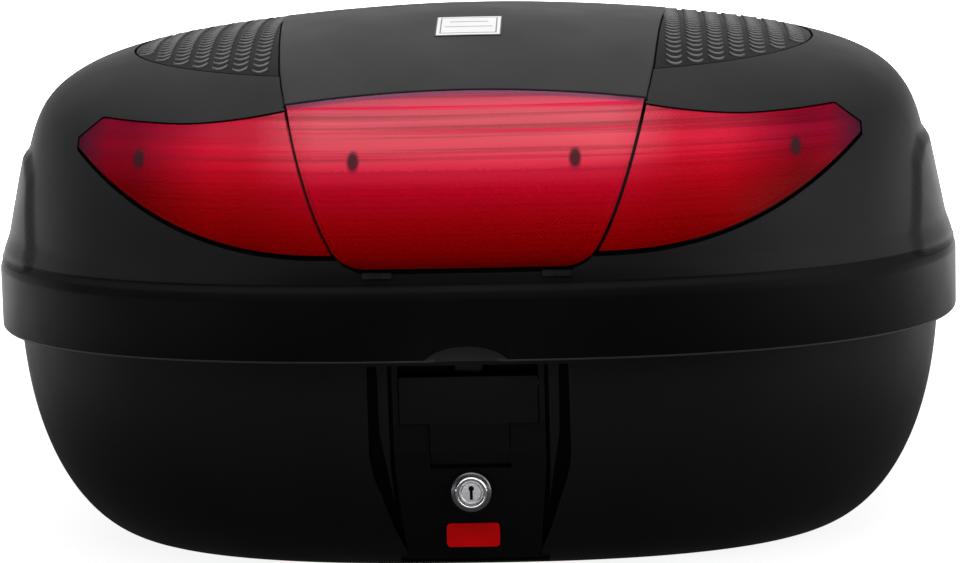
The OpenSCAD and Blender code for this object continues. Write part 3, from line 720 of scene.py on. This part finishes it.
def centre_low(u):
    """Lower edge of the centre lens at the fraction u of its half width, with rounded corners."""
    edge = np.clip((np.abs(u) - 0.86) / 0.14, 0, 1)
    return LENS_LOW + LENS_CORNER * (1 - np.sqrt(np.clip(1 - edge**2, 0, 1)))


def centre_domain(nu, nv, grow=0.0, below=0.0, above=0.0):
    """Points (x, z) over the centre lens, grown by grow, and by more at the lower and upper edge."""
    u, v = np.meshgrid(np.linspace(-1, 1, nu), np.linspace(0, 1, nv), indexing="ij")
    u = np.sign(u) * (1 - (1 - np.abs(u)) ** 1.25)
    z = np.full(u.shape, 230.0)
    x = u * SEAM_LOW
    for _ in range(8):
        x = u * (seam(z) + grow)
        z = (centre_low(u) - grow - below) * (1 - v) + (centre_high(x) + grow + above) * v
    return x, z


def side_domain(nu, nv, grow=0.0, gap=1.0, below=0.0):
    """Points (x, z) over the right lens, grown by grow, and by below more at its lower edge."""
    u, v = np.meshgrid(np.linspace(0, 1, nu), np.linspace(0, 1, nv), indexing="ij")
    z = np.full(u.shape, 240.0)
    x = 100 + 100 * u
    for _ in range(10):
        x = (seam(z) + gap - grow) * (1 - u) + (TIP + grow) * u
        z = (side_low(x) - grow - below) * (1 - v) + (side_high(x) + grow) * v
    return x, z


def on_lid(x, z, d):
    """Points on the lid's front, grown by d."""
    return np.stack([x, lid_front(x, z, d), z], -1)


def lens_slab(domain, outer, inner):
    """Slab that follows the lid's front."""
    x, z = domain
    return slab(on_lid(x, z, outer), on_lid(x, z, inner))


def pad_half(x, grow=0.0):
    """Half depth of a grip pad at x."""
    return (PAD_B + grow) * np.clip(1 - np.abs(x / (PAD_A + grow)) ** PAD_N, 0, 1) ** (1 / PAD_N)


def panel_half(y):
    """Half width of the top panel at y."""
    at = [-150, -142, -128, -112, -82, -40, 0, 40, 80, 120, 150, PANEL_BACK]
    return np.interp(y, at, [105.4, 105.7, 108.3, 110.6, 113, 115.8, 118.3, 120.5, 121, 118, 112, 98])


def pad_domain(nu, nv, grow=0.0):
    """Points (x, y) over the right grip pad, grown by grow."""
    u, v = np.meshgrid(np.linspace(0, 1, nu) ** 0.8, np.linspace(-1, 1, nv), indexing="ij")
    y = v * pad_half(115.0, grow)
    x = u
    for _ in range(12):
        start = panel_half(y) + PANEL_GAP - grow
        x = start + (PAD_A + grow - 0.3 - start) * u
        y = v * pad_half(x, grow)
    return x, y


def panel_domain(nu, nv, grow=0.0, front=None):
    """Points (x, y) over the top panel, grown by grow; its front edge is moved forward by front."""
    front = grow if front is None else front
    u, v = np.meshgrid(np.linspace(-1, 1, nu), np.linspace(0, 1, nv), indexing="ij")
    x = u * 106
    y = np.zeros(u.shape)
    for _ in range(6):
        edge = lid_front(x, centre_high(x) + 0.8 - front)
        y = edge * (1 - v) + (PANEL_BACK + grow) * v
        x = u * (panel_half(y) + grow)
    return x, y


def on_top(x, y, d):
    """Points on the lid's top, grown by d."""
    return np.stack([x, y, lid_top(x, y, d)], -1)


def top_slab(domain, outer, inner):
    """Slab that follows the lid's top."""
    x, y = domain
    return slab(on_top(x, y, outer), on_top(x, y, inner))


# ======== lid ========

ANGLES = ring_angles(520)


def smoothstep(t):
    """Smooth rise from 0 to 1."""
    t = np.clip(t, 0, 1)
    return t * t * (3 - 2 * t)


def wing_height(y, z):
    """How far the side wing stands out at (y, z): 0 to 1 with soft edges."""
    top = np.interp(y, [-122, -104, -84, -62, 110, 140, 150], [182, 208, 232, 242, 242, 226, 182])
    front = smoothstep((y + 122 - np.clip((z - 182) / 60, 0, 1) * 45) / 5)
    back = smoothstep((150 - np.clip((z - 200) / 42, 0, 1) * 30 - y) / 9)
    return front * back * smoothstep((top - z) / 7) * smoothstep((z - 172) / 10)


def lid_shell():
    """Dome, band and side wings of the lid."""
    d = -LID_WALL
    inner = [lid_size(math.sin(math.pi / 2 * t), d) for t in np.linspace(0.998, 0.0, 46)]
    nf, nb = FRONT_N, BACK_N
    ia, ib = LID_A + d, LID_B + d
    profile = [
        (BAND_TOP - 4, ia, ib), (SEAT_TOP, ia, ib), (SEAT_TOP, BASE_A - 6, BASE_B - 6),
        (SEAT_LOW, BASE_A - 6, BASE_B - 6), (SEAT_LOW, SKIRT_A, SKIRT_B), (BAND_LOW, SKIRT_A, SKIRT_B),
        (BAND_LOW, BAND_A, BAND_B), (BAND_LOW + 36, BAND_A, BAND_B),
        (BAND_LOW + 40.5, BAND_A - 1.6, BAND_B - 1.6), (BAND_LOW + 44, BAND_A - 4.6, BAND_B - 4.2),
        (BAND_LOW + 49, LID_A - 0.2, LID_B - 0.1)]
    corner = [(z, a, b, b, nf, nb) for z, a, b in profile]
    outer = [lid_size(math.sin(math.pi / 2 * t)) for t in np.linspace(0.055, 0.998, 100)]
    rows = [tuple(float(v) for v in r) for r in inner + soften(corner, 1.2) + outer]
    verts, faces = loft(rows, ANGLES)
    m = len(ANGLES)
    first = len(rows) - len(outer) - 6
    part = verts[first * m:len(rows) * m]
    side = np.abs(part[:, 0])
    lift = 3 * wing_height(part[:, 1], part[:, 2]) * smoothstep((side - 200) / 40)
    part[:, 0] += np.sign(part[:, 0]) * lift
    return scratch("lid_shell_vis", verts, faces)


def lens_tray():
    """Walls and floor of the tray behind the lens, standing inside the lid."""
    deep = -TRAY - 2.5
    right = lens_slab(side_domain(61, 25, TRAY_GROW, 0.0), -1.0, deep)
    return [tool(lens_slab(centre_domain(61, 31, TRAY_GROW), -1.0, deep))] + both(right)


def lid_cuts():
    """Lens recess, seats of the pads, panel, hinge leaves and clips, and the finger lift."""
    reach = 7
    cuts = [tool(lens_slab(centre_domain(61, 31, SEAT_GROW, CENTRE_CUT_BELOW), reach, -TRAY))]
    cuts += both(lens_slab(side_domain(61, 25, SEAT_GROW, 0.0, SIDE_CUT_BELOW), reach, -TRAY))
    cuts += both(top_slab(pad_domain(41, 61, PAD_CUT), 5, -PAD_DEEP))
    cuts.append(tool(top_slab(panel_domain(61, 81, SEAT_GROW, PANEL_CUT_FRONT), 5, -PAD_DEEP)))
    half = HINGE_W / 2 + 0.5
    cuts += both(box_mesh(HINGE_X - half, HINGE_X + half, HINGE_SEAT_Y, 216, BAND_LOW - 1, HINGE_SEAT_TOP))
    cuts.append(tool(ellipsoid(*LIFT)))
    wide, *rest = CLIP_SEAT
    return cuts + [tool(box_mesh(x - wide, x + wide, *rest)) for x in CLIP_X]


def in_tray(x, y, z):
    """True where points lie on a wall or the floor of the lens tray."""
    side = np.abs(x)
    deep = y - lid_front(x, z)
    centre = side < seam(z)
    low = np.where(centre, LENS_LOW, side_low(side))
    high = np.where(centre, centre_high(side), side_high(side))
    here = (y < -60) & (side < TIP + 2.5) & (deep > 0.3) & (deep < TRAY + 1)
    return here & (z > low - 3.2) & (z < high + 1.6)


def in_seat(x, y, z):
    """True where points lie on the seat of a grip pad or of the top panel."""
    high = z > 250
    deep = np.zeros(len(z))
    deep[high] = lid_top(x[high], y[high]) - z[high]
    return high & (np.abs(x) < PAD_A + 3) & (deep > 0.3) & (deep < PAD_DEEP + 0.4)


def in_lift(x, y, z):
    """True where points lie on the scoop of the finger lift."""
    (cx, cy, cz), (rx, ry, rz) = LIFT
    away = ((x - cx) / rx) ** 2 + ((y - cy) / ry) ** 2 + ((z - cz) / rz) ** 2
    return (away < 1.04) & (z > BAND_LOW + 0.3) & (y > -BAND_B + 0.05)


def on_rim_edge(x, y, z):
    """True on the small round along the band's lower outer edge."""
    n = np.where(y < 0, FRONT_N, BACK_N)
    out = np.abs(x / (BAND_A - 2)) ** FRONT_N + np.abs(y / (BAND_B - 2)) ** n
    return (z < BAND_LOW + 1.25) & (z > BAND_LOW + 0.01) & (out > 1)


def face_centres(obj):
    """Columns x, y, z of the faces' centres, in millimetres."""
    return np.array([face.center for face in obj.data.polygons]).T / MM


def repaint(obj, material, chosen):
    """Gives the chosen faces another material."""
    obj.data.materials.append(material)
    index = len(obj.data.materials) - 1
    for k in np.flatnonzero(chosen):
        obj.data.polygons[k].material_index = index


lid = lid_shell()
combine(lid, "UNION", lens_tray())
combine(lid, "DIFFERENCE", lid_cuts())
finish_piece(lid, "lid", LID_BLACK, ("lid_shell",))
spots = face_centres(lid)
# The band's faces get the darker copy of the lid's black: painted shade.
repaint(lid, BAND_PAINTED_SHADE, spots[2] < BAND_LOW + 46)
# Lens tray and seats are painted near-black: painted shade in the gaps.
repaint(lid, GAP_PAINTED_SHADE, in_tray(*spots) | in_seat(*spots))
# The finger lift's scoop gets the lighter copy of the black: painted highlight.
repaint(lid, LIFT_PAINTED_HIGHLIGHT, in_lift(*spots))
# The small round along the band's lower edge gets a painted highlight.
repaint(lid, EDGE_PAINTED_HIGHLIGHT, on_rim_edge(*spots))


def slab_piece(node, data, mat, round_by):
    """Piece of the lid that stands for a CAD node, its edges rounded by round_by."""
    obj = scratch(f"{node}_vis", *data)
    bevel(obj, round_by, 3)
    bake_modifiers(obj)
    finish_piece(obj, "lid", mat, (node,))


LENS_IN = LENS_PROUD - LENS_THICK
centre_lens = lens_slab(centre_domain(81, 61, -0.5, 0.0, 0.8), LENS_PROUD, LENS_IN)
slab_piece("lens_centre", centre_lens, LENS_RED, LENS_ROUND)
right_lens = lens_slab(side_domain(81, 41, -0.3, 1.3), LENS_PROUD, LENS_IN)
slab_piece("lens_right", right_lens, LENS_RED, LENS_ROUND)
slab_piece("lens_left", mirror_x(*right_lens), LENS_RED, LENS_ROUND)


def ribbed(domain):
    """Reflector sheet whose face carries fine level ribs."""
    x, z = domain
    rib = 0.12 * (1 + np.sin(z * 2 * np.pi / 3.2))
    front = on_lid(x, z, 1.5 - TRAY)
    front[..., 1] -= rib * 0.9
    return slab(front, on_lid(x, z, -TRAY))


centre_ref = ribbed(centre_domain(41, 221, -1.5))
slab_piece("reflector_centre", centre_ref, REFLECTOR, 0.05)
right_ref = ribbed(side_domain(41, 181, -1.5))
slab_piece("reflector_right", right_ref, REFLECTOR, 0.05)
slab_piece("reflector_left", mirror_x(*right_ref), REFLECTOR, 0.05)

panel = top_slab(panel_domain(61, 101), PAD_PROUD, -PAD_DEEP)
slab_piece("top_panel", panel, PANEL_BLACK, 0.6)


def crescent(cx, cy, half, tall):
    """Small raised smile-shaped ridge on the pad at (cx, cy), its ends bent back and highest."""
    t = np.linspace(-1, 1, 11)
    x = cx + half * t
    y = cy + 2.6 * t * t - 1.2
    w = 0.95 * (1 - 0.35 * t**6)
    up = tall * (0.7 + 0.3 * t * t)
    rows = []
    for side, lift in ((-1, -0.4), (-0.8, 0.55), (-0.3, 1), (0.3, 1), (0.8, 0.55), (1, -0.4)):
        py = y + side * w
        rows.append(np.stack([x, py, lid_top(x, py, -PAD_LOW) + up * lift], -1))
    grid = np.stack(rows, 1)
    n, m = len(t), len(rows)
    faces = sheet_faces(n, m)
    faces += [tuple(range(m - 1, -1, -1)), tuple((n - 1) * m + k for k in range(m))]
    faces += [(i * m + m - 1, (i + 1) * m + m - 1, (i + 1) * m, i * m) for i in range(n - 1)]
    return grid.reshape(-1, 3), faces


def grip_pad():
    """The right pad's points and faces, and how many of the faces belong to its plate."""
    verts, faces = top_slab(pad_domain(41, 61), -PAD_LOW, -PAD_DEEP)
    verts, faces = list(verts), list(faces)
    plate = len(faces)
    for i in range(RIDGE_COLUMNS):
        x = RIDGE_START + RIDGE_PITCH * i
        reach = float(pad_half(np.array(min(x + 3.0, PAD_A - 2)))) - 3.2
        count = int((2 * reach) / RIDGE_ROW)
        for k in range(count + 1):
            v, f = crescent(x, -reach + k * RIDGE_ROW, RIDGE_HALF, RIDGE_TALL)
            start = len(verts)
            verts += list(v)
            faces += [tuple(a + start for a in face) for face in f]
    return (np.array(verts), faces), plate


pad_data, plate_faces = grip_pad()
for side, data in (("right", pad_data), ("left", mirror_x(*pad_data))):
    pad = mesh(f"grip_{side}_vis", *data, "lid", PAD_BLACK_PAINTED_SHADE, (f"grip_{side}",), "grip_plastic", 50)
    # The ridges' faces get the painted highlight; the plate keeps its painted shade.
    repaint(pad, RIDGE_PAINTED_HIGHLIGHT, np.arange(len(pad.data.polygons)) >= plate_faces)

# ======== base ========


def recess_half(z):
    """Half width of the recess around the lock panel at height z."""
    at = [4, 16, 27, 38, 51, 63, 75, HOUSING_TOP]
    return np.interp(z, at, [35, 40.5, 45, 48.5, 52.3, 56.3, 58.5, 58])


def ridge_in(z):
    """Inner edge of the recess's ridge at height z."""
    return np.interp(z, [46, 70, 140], [45, 46.4, 46.4])


def ridge_out(z):
    """Outer edge of the recess's ridge at height z."""
    return np.interp(z, [46, 70, 90, 140], [45.2, 48.8, 52, 52.6])


def front_slab(left, right, low, high, outer, inner, nu=41, nv=45):
    """Solid that follows the base's front between two side lines, from one depth to another."""
    u, v = np.meshgrid(np.linspace(0, 1, nu), np.linspace(0, 1, nv), indexing="ij")
    z = low + (high - low) * v
    x = left(z) * (1 - u) + right(z) * u
    sheets = [np.stack([x, base_front(x, z, d), z], -1) for d in (outer, inner)]
    return slab(*sheets)


def base_body():
    """Tub with a rounded rim and its floor."""
    nf, nb = FRONT_N, BACK_N
    inner = []
    for z in np.linspace(BASE_FLOOR, BAND_LOW, 40):
        a, b, n1, n2 = base_size(z, -BASE_WALL)
        inner.append((z, a, b, b, n1, n2))
    first = inner[0]
    floor_in = [(BASE_FLOOR, f * first[1], f * first[2], f * first[2], *first[4:]) for f in (0.1, 0.5, 0.9)]
    outer = []
    for t in np.linspace(0, 1, 60) ** 0.62:
        a, b, n1, n2 = base_size(BAND_LOW * (1 - t))
        outer.append((BAND_LOW * (1 - t), a, b, b, n1, n2))
    foot = outer[-1]
    floor_out = [(0, f * foot[1], f * foot[2], f * foot[3], *foot[4:]) for f in (0.97, 0.9, 0.5, 0.1)]
    in_a, in_b = BASE_A - BASE_WALL, BASE_B - BASE_WALL
    rim = soften([inner[-1], (RIM_TOP, in_a, in_b, in_b, nf, nb),
                  (RIM_TOP, BASE_A, BASE_B, BASE_B, nf, nb), outer[0]], 0.5)
    rows = [tuple(float(v) for v in r) for r in floor_in + inner + rim + outer + floor_out]
    return scratch("base_shell_vis", *loft(rows, ANGLES))


def boss(x, half, y0, y1, top, wall=3):
    """Block in the floor that a pocket is cut into."""
    return box_mesh(x - half - wall, x + half + wall, y0 - wall, y1 + wall, 1, top + wall)


def pocket(x, half, y0, y1, top):
    """Hollow in the underside."""
    return box_mesh(x - half, x + half, y0, y1, -1, top)


def base_adds():
    """Thicker wall around the lock panel, blocks for the underside's pockets, and pads for the hinges."""
    thick = front_slab(lambda z: -recess_half(z) - 3, lambda z: recess_half(z) + 3,
                       3, HOUSING_TOP + 3, -0.5, -9)
    adds = [tool(thick), tool(boss(0, *PLATE_POCKET))] + both(boss(TONGUE_X, *TONGUE_SLOT))
    half = HINGE_W / 2 + 2
    adds += both(box_mesh(HINGE_X - half, HINGE_X + half, 190, 201, 92, 130))
    return adds


def base_cuts():
    """Recess and opening for the lock panel, the underside's pockets, and the bolt's way out."""
    opening = PANEL_EDGE + [(-x, z) for x, z in PANEL_EDGE[::-1]]
    recess = front_slab(lambda z: -recess_half(z), recess_half, 4, HOUSING_TOP, 8, -RECESS_DEEP)
    cuts = [tool(recess), tool(prism(opening, -230, -140)), tool(pocket(0, *PLATE_POCKET))]
    cuts += both(pocket(TONGUE_X, *TONGUE_SLOT))
    cuts.append(tool(box_mesh(-10.4, 10.4, -128, -123, BOLT_LOW, BOLT_TOP)))
    return cuts


def base_extras():
    """Sill behind the lock panel's foot, and the ridges that stand in the recess."""
    ridge = front_slab(ridge_in, ridge_out, 46, HOUSING_TOP, -RIDGE_DEEP, -RECESS_DEEP - 1, 7, 61)
    return [tool(box_mesh(*SILL))] + both(ridge)


def bolt_window():
    """Room in the sill for the plate bolt at any pose."""
    front = cad_box("plate_bolt")[0][1]
    return [tool(box_mesh(-10.6, 10.6, front - 4.5, front + 5.5, BOLT_LOW, BOLT_TOP))]


base = base_body()
combine(base, "UNION", base_adds())
combine(base, "DIFFERENCE", base_cuts())
combine(base, "UNION", base_extras())
combine(base, "DIFFERENCE", bolt_window())
finish_piece(base, "base", BASE_BLACK, ("base_shell",))


def in_recess(x, y, z):
    """True on the floor and walls of the recess around the lock panel, but not on its ridges."""
    deep = y - base_front(x, z)
    ridge = (np.abs(deep - RIDGE_DEEP) < 0.5) & (np.abs(x) < 53.5)
    here = (y < -120) & (np.abs(x) < 60) & (z < HOUSING_TOP + 1)
    return here & (deep > 0.3) & (deep < RECESS_DEEP + 1) & ~ridge


# The recess's floor and walls get painted shade.
repaint(base, RECESS_PAINTED_SHADE, in_recess(*face_centres(base)))

# ======== CAD nodes that keep their shape ========

HINGES = ("hinge_base_left", "hinge_base_right", "hinge_lid_left", "hinge_lid_right")
FINISH = {
    "lock_housing": LOCK_BLACK, "lock_cover": LOCK_BLACK, "latch_paddle": LOCK_BLACK,
    "release_button": BUTTON_RED, "label_plate": LABEL_WHITE, "rim_seal": RUBBER,
    "lens_screws": SCREW_DARK, "lens_clips": CLIP_METAL,
    "latch_hook": STEEL_DARK, **dict.fromkeys(HINGES, HINGE_BLACK),
}
EDGES = {
    "lock_housing": 0.5, "lock_cover": 0.6, "latch_paddle": 0.5, "release_button": 0.9, "striker": 0.4,
    "lens_clips": 0.4, "latch_hook": 0.4, "lock_cam": 0.3, "plate_bolt": 0.4, "release_lever": 0.3,
    **dict.fromkeys(HINGES, 0.5),
}
REBUILT = {
    "lid_shell", "base_shell", "lens_centre", "lens_right", "lens_left", "reflector_centre",
    "reflector_right", "reflector_left", "top_panel", "grip_right", "grip_left", "lock_barrel", "key_plug",
}


def keep_cad_nodes():
    """Gives each CAD node that keeps its shape a material, and those listed in EDGES a small round on their
    sharp edges.
    """
    for node, obj in frame["nodes"].items():
        if node in REBUILT:
            continue
        if not obj.material_slots:
            obj.data.materials.append(None)
        for slot in obj.material_slots:
            slot.material = FINISH.get(node, STEEL)
        if node in EDGES:
            bevel(obj, EDGES[node], 2)


keep_cad_nodes()

# ======== lock ========


def lathe(profile, x, z):
    """Solid turned about a line along Y through (x, z); profile is a closed outline of (radius, y)."""
    m = 96
    turn = np.linspace(0, 2 * np.pi, m, endpoint=False)
    verts = [(x + r * math.cos(t), y, z + r * math.sin(t)) for r, y in profile for t in turn]
    return verts, ring_faces(len(profile), m, closed=True)


def keyed_plug():
    """Key plug: a dished face with a raised rim and a keyhole, on the shank that carries the cam."""
    low, high = cad_box("key_plug")
    face, back = low[1], high[1] - 3
    r = (high[0] - low[0]) / 2
    x, z = (low[0] + high[0]) / 2, (low[2] + high[2]) / 2
    profile = [(0.01, face + 0.5), (5.6, face + 0.5), (6.0, face + 0.2), (6.2, face), (r - 0.5, face),
               (r, face + 0.5), (r, back), (0.01, back)]
    plug = scratch("key_plug_vis", *lathe(profile, x, z))
    combine(plug, "UNION", [tool(box_mesh(x - 3, x + 3, back - 1, high[1], z - 3, z + 3))])
    combine(plug, "DIFFERENCE", [tool(box_mesh(x - 0.9, x + 0.9, face - 2, face + 6, z - 4.2, z + 2.4)),
                                 tool(rod_y(x, z + 2.4, 1.6, face - 2, face + 6))])
    finish_piece(plug, "plug", FACE_METAL, ("key_plug",), 30)
    px, py, pz = face_centres(plug)
    # The keyhole's inner faces get painted shade.
    repaint(plug, SLOT_PAINTED_SHADE, (np.abs(px - x) < 1.7) & (np.abs(pz - z) < 4.6) & (py > face + 0.55))


def barrel():
    """Lock barrel: flat collar, polished rounded ring, then the dark bore around the plug."""
    low, high = cad_box("lock_barrel")
    front, back = low[1], high[1]
    r = (high[0] - low[0]) / 2
    x, z = (low[0] + high[0]) / 2, (low[2] + high[2]) / 2
    ring = [(BORE_R + out, front + deep) for out, deep in (
        (0, 0.7), (0.3, 0.2), (0.8, 0), (1.4, 0.05), (1.9, 0.4), (2.05, 1.0), (2.3, 1.3))]
    collar = [(r - 1.0, front + 1.6), (r - 0.3, front + 1.85), (r, front + 2.1), (r, COLLAR_Y)]
    profile = [(BORE_R, back)] + ring + collar + [(RING_R, COLLAR_Y), (RING_R, back)]
    piece = scratch("lock_barrel_vis", *lathe(profile, x, z))
    finish_piece(piece, "base", CHROME, ("lock_barrel",), 30)
    px, py, pz = face_centres(piece)
    repaint(piece, COLLAR_GREY, (np.hypot(px - x, pz - z) > BORE_R + 2.05) & (py < COLLAR_Y))


barrel()
keyed_plug()

# ======== stage, light, camera ========

# Glow of the floor that lights the case, at its sides, in front and behind.
SIDE_GLOW = 1.7
NEAR_GLOW = 0.1
REAR_GLOW = 3.0
# Glow of the sky that lights the case, behind it, high up and in front.
BACK_GLOW = 0.75
HIGH_GLOW = 1.3
FRONT_GLOW = 0.008
FLOOR_REACH = 30
FLOOR_DROP = 0.0005
# Camera: angles in degrees, distance and height of its aim in metres, focal length in millimetres.
ELEVATION = 9.2
TURN = 2.4
ROLL = 1.45
DISTANCE = 2.2
AIM_Z = 0.16
FOCAL = 131.2
SHIFT_X = 0.0009
SHIFT_Y = -0.0230


def stage():
    """Pale floor and white background to the camera; the case itself is lit from above and behind."""
    n = Nodes("floor")
    seen = n.add("ShaderNodeLightPath").outputs["Is Camera Ray"]
    tone = n.ramp(n.noise(0.8, 2), [(0.3, (0.2, 0.2, 0.2)), (0.7, (0.21, 0.21, 0.21))])
    mat = n.set(color=n.mix(seen, (0.02, 0.02, 0.02), tone), rough=0.9, spec=0.0)
    n.bsdf.inputs["Emission Color"].default_value = (1, 1, 1, 1)
    aside = n.math("MULTIPLY", n.span(n.math("ABSOLUTE", n.axis("X")), 0.4, 0.85), SIDE_GLOW)
    near = n.math("MULTIPLY", n.span(n.axis("Y"), -1.3, -0.6), NEAR_GLOW)
    rear = n.math("MULTIPLY", n.span(n.axis("Y"), 0.2, 0.9), REAR_GLOW)
    glow = n.math("MAXIMUM", n.math("MAXIMUM", aside, near), rear)
    n.link(n.math("MAXIMUM", n.math("MULTIPLY", seen, 0.9), glow), n.bsdf.inputs["Emission Strength"])
    data = bpy.data.meshes.new("floor")
    corners = [(x * FLOOR_REACH, y * FLOOR_REACH, 0) for x, y in ((-1, -1), (1, -1), (1, 1), (-1, 1))]
    data.from_pydata(corners, [], [(0, 1, 2, 3)])
    data.materials.append(mat)
    floor = bpy.data.objects.new("floor", data)
    bpy.context.scene.collection.objects.link(floor)
    floor.location.z = -FLOOR_DROP


def world():
    """White to the camera. To the case: dim in front, brighter behind and a little at the sides."""
    sky = bpy.data.worlds.new("studio")
    bpy.context.scene.world = sky
    sky.use_nodes = True
    tree = sky.node_tree
    back = tree.nodes["Background"]

    def node(kind, **values):
        made = tree.nodes.new(kind)
        for key, value in values.items():
            setattr(made, key, value)
        return made

    def span(value, lo, hi, to):
        made = node("ShaderNodeMapRange", interpolation_type="SMOOTHSTEP")
        for name, number in (("From Min", lo), ("From Max", hi), ("To Max", to)):
            made.inputs[name].default_value = number
        tree.links.new(value, made.inputs["Value"])
        return made.outputs[0]

    def add(a, b):
        made = node("ShaderNodeMath", operation="ADD")
        for sock, v in zip(made.inputs, (a, b)):
            if isinstance(v, float):
                sock.default_value = v
            else:
                tree.links.new(v, sock)
        return made.outputs[0]

    axes = node("ShaderNodeSeparateXYZ")
    tree.links.new(node("ShaderNodeTexCoord").outputs["Generated"], axes.inputs[0])
    high = span(axes.outputs["Z"], 0.35, 0.95, HIGH_GLOW)
    glow = add(add(span(axes.outputs["Y"], 0.15, 0.95, BACK_GLOW), FRONT_GLOW), high)
    level = node("ShaderNodeMix", data_type="FLOAT")
    tree.links.new(node("ShaderNodeLightPath").outputs["Is Camera Ray"], level.inputs[0])
    tree.links.new(glow, level.inputs[2])
    level.inputs[3].default_value = 1.0
    tree.links.new(level.outputs[0], back.inputs["Strength"])
    back.inputs["Color"].default_value = (1, 1, 1, 1)


def area_light(name, place, target, size, power):
    """Soft rectangular light at place, aimed at target."""
    data = bpy.data.lights.new(name, "AREA")
    data.shape = "RECTANGLE"
    data.size, data.size_y = size
    data.energy = power
    obj = bpy.data.objects.new(name, data)
    obj.location = place
    obj.rotation_euler = look(np.array(target) - np.array(place)).to_euler()
    bpy.context.scene.collection.objects.link(obj)


def look(direction):
    """Rotation that aims a light or camera along direction."""
    return Vector(direction).to_track_quat("-Z", "Y")


def camera():
    """Camera at the photograph's angle, in front of the lock and a little above it."""
    elevation, turn, roll = (math.radians(angle) for angle in (ELEVATION, TURN, ROLL))
    level = math.cos(elevation)
    back = np.array([math.sin(turn) * level, -math.cos(turn) * level, math.sin(elevation)])
    data = bpy.data.cameras.new("camera")
    data.sensor_width = 36
    data.lens = FOCAL
    data.shift_y = SHIFT_Y
    data.shift_x = SHIFT_X
    obj = bpy.data.objects.new("camera", data)
    obj.location = np.array([0, 0, AIM_Z]) + back * DISTANCE
    obj.rotation_mode = "QUATERNION"
    obj.rotation_quaternion = look(-back) @ Quaternion((0, 0, 1), -roll)
    bpy.context.scene.collection.objects.link(obj)
    bpy.context.scene.camera = obj


stage()
world()
area_light("top_soft", (0, -0.25, 2.2), (0, -0.1, 0.2), (2.2, 0.9), 20)
area_light("left_strip", (-1.6, 0.4, 0.35), (0, 0, 0.1), (0.5, 0.7), 2)
area_light("right_strip", (1.6, 0.4, 0.35), (0, 0, 0.1), (0.5, 0.7), 2.5)
area_light("right_soft", (1.8, -0.9, 0.9), (0, -0.1, 0.22), (1.5, 1.5), 13)
area_light("lock_card", (-0.011, -0.462, 0.03), (0, -0.19, 0.054), (0.10, 0.04), 0.045)
camera()
bpy.context.scene.view_settings.view_transform = "Standard"
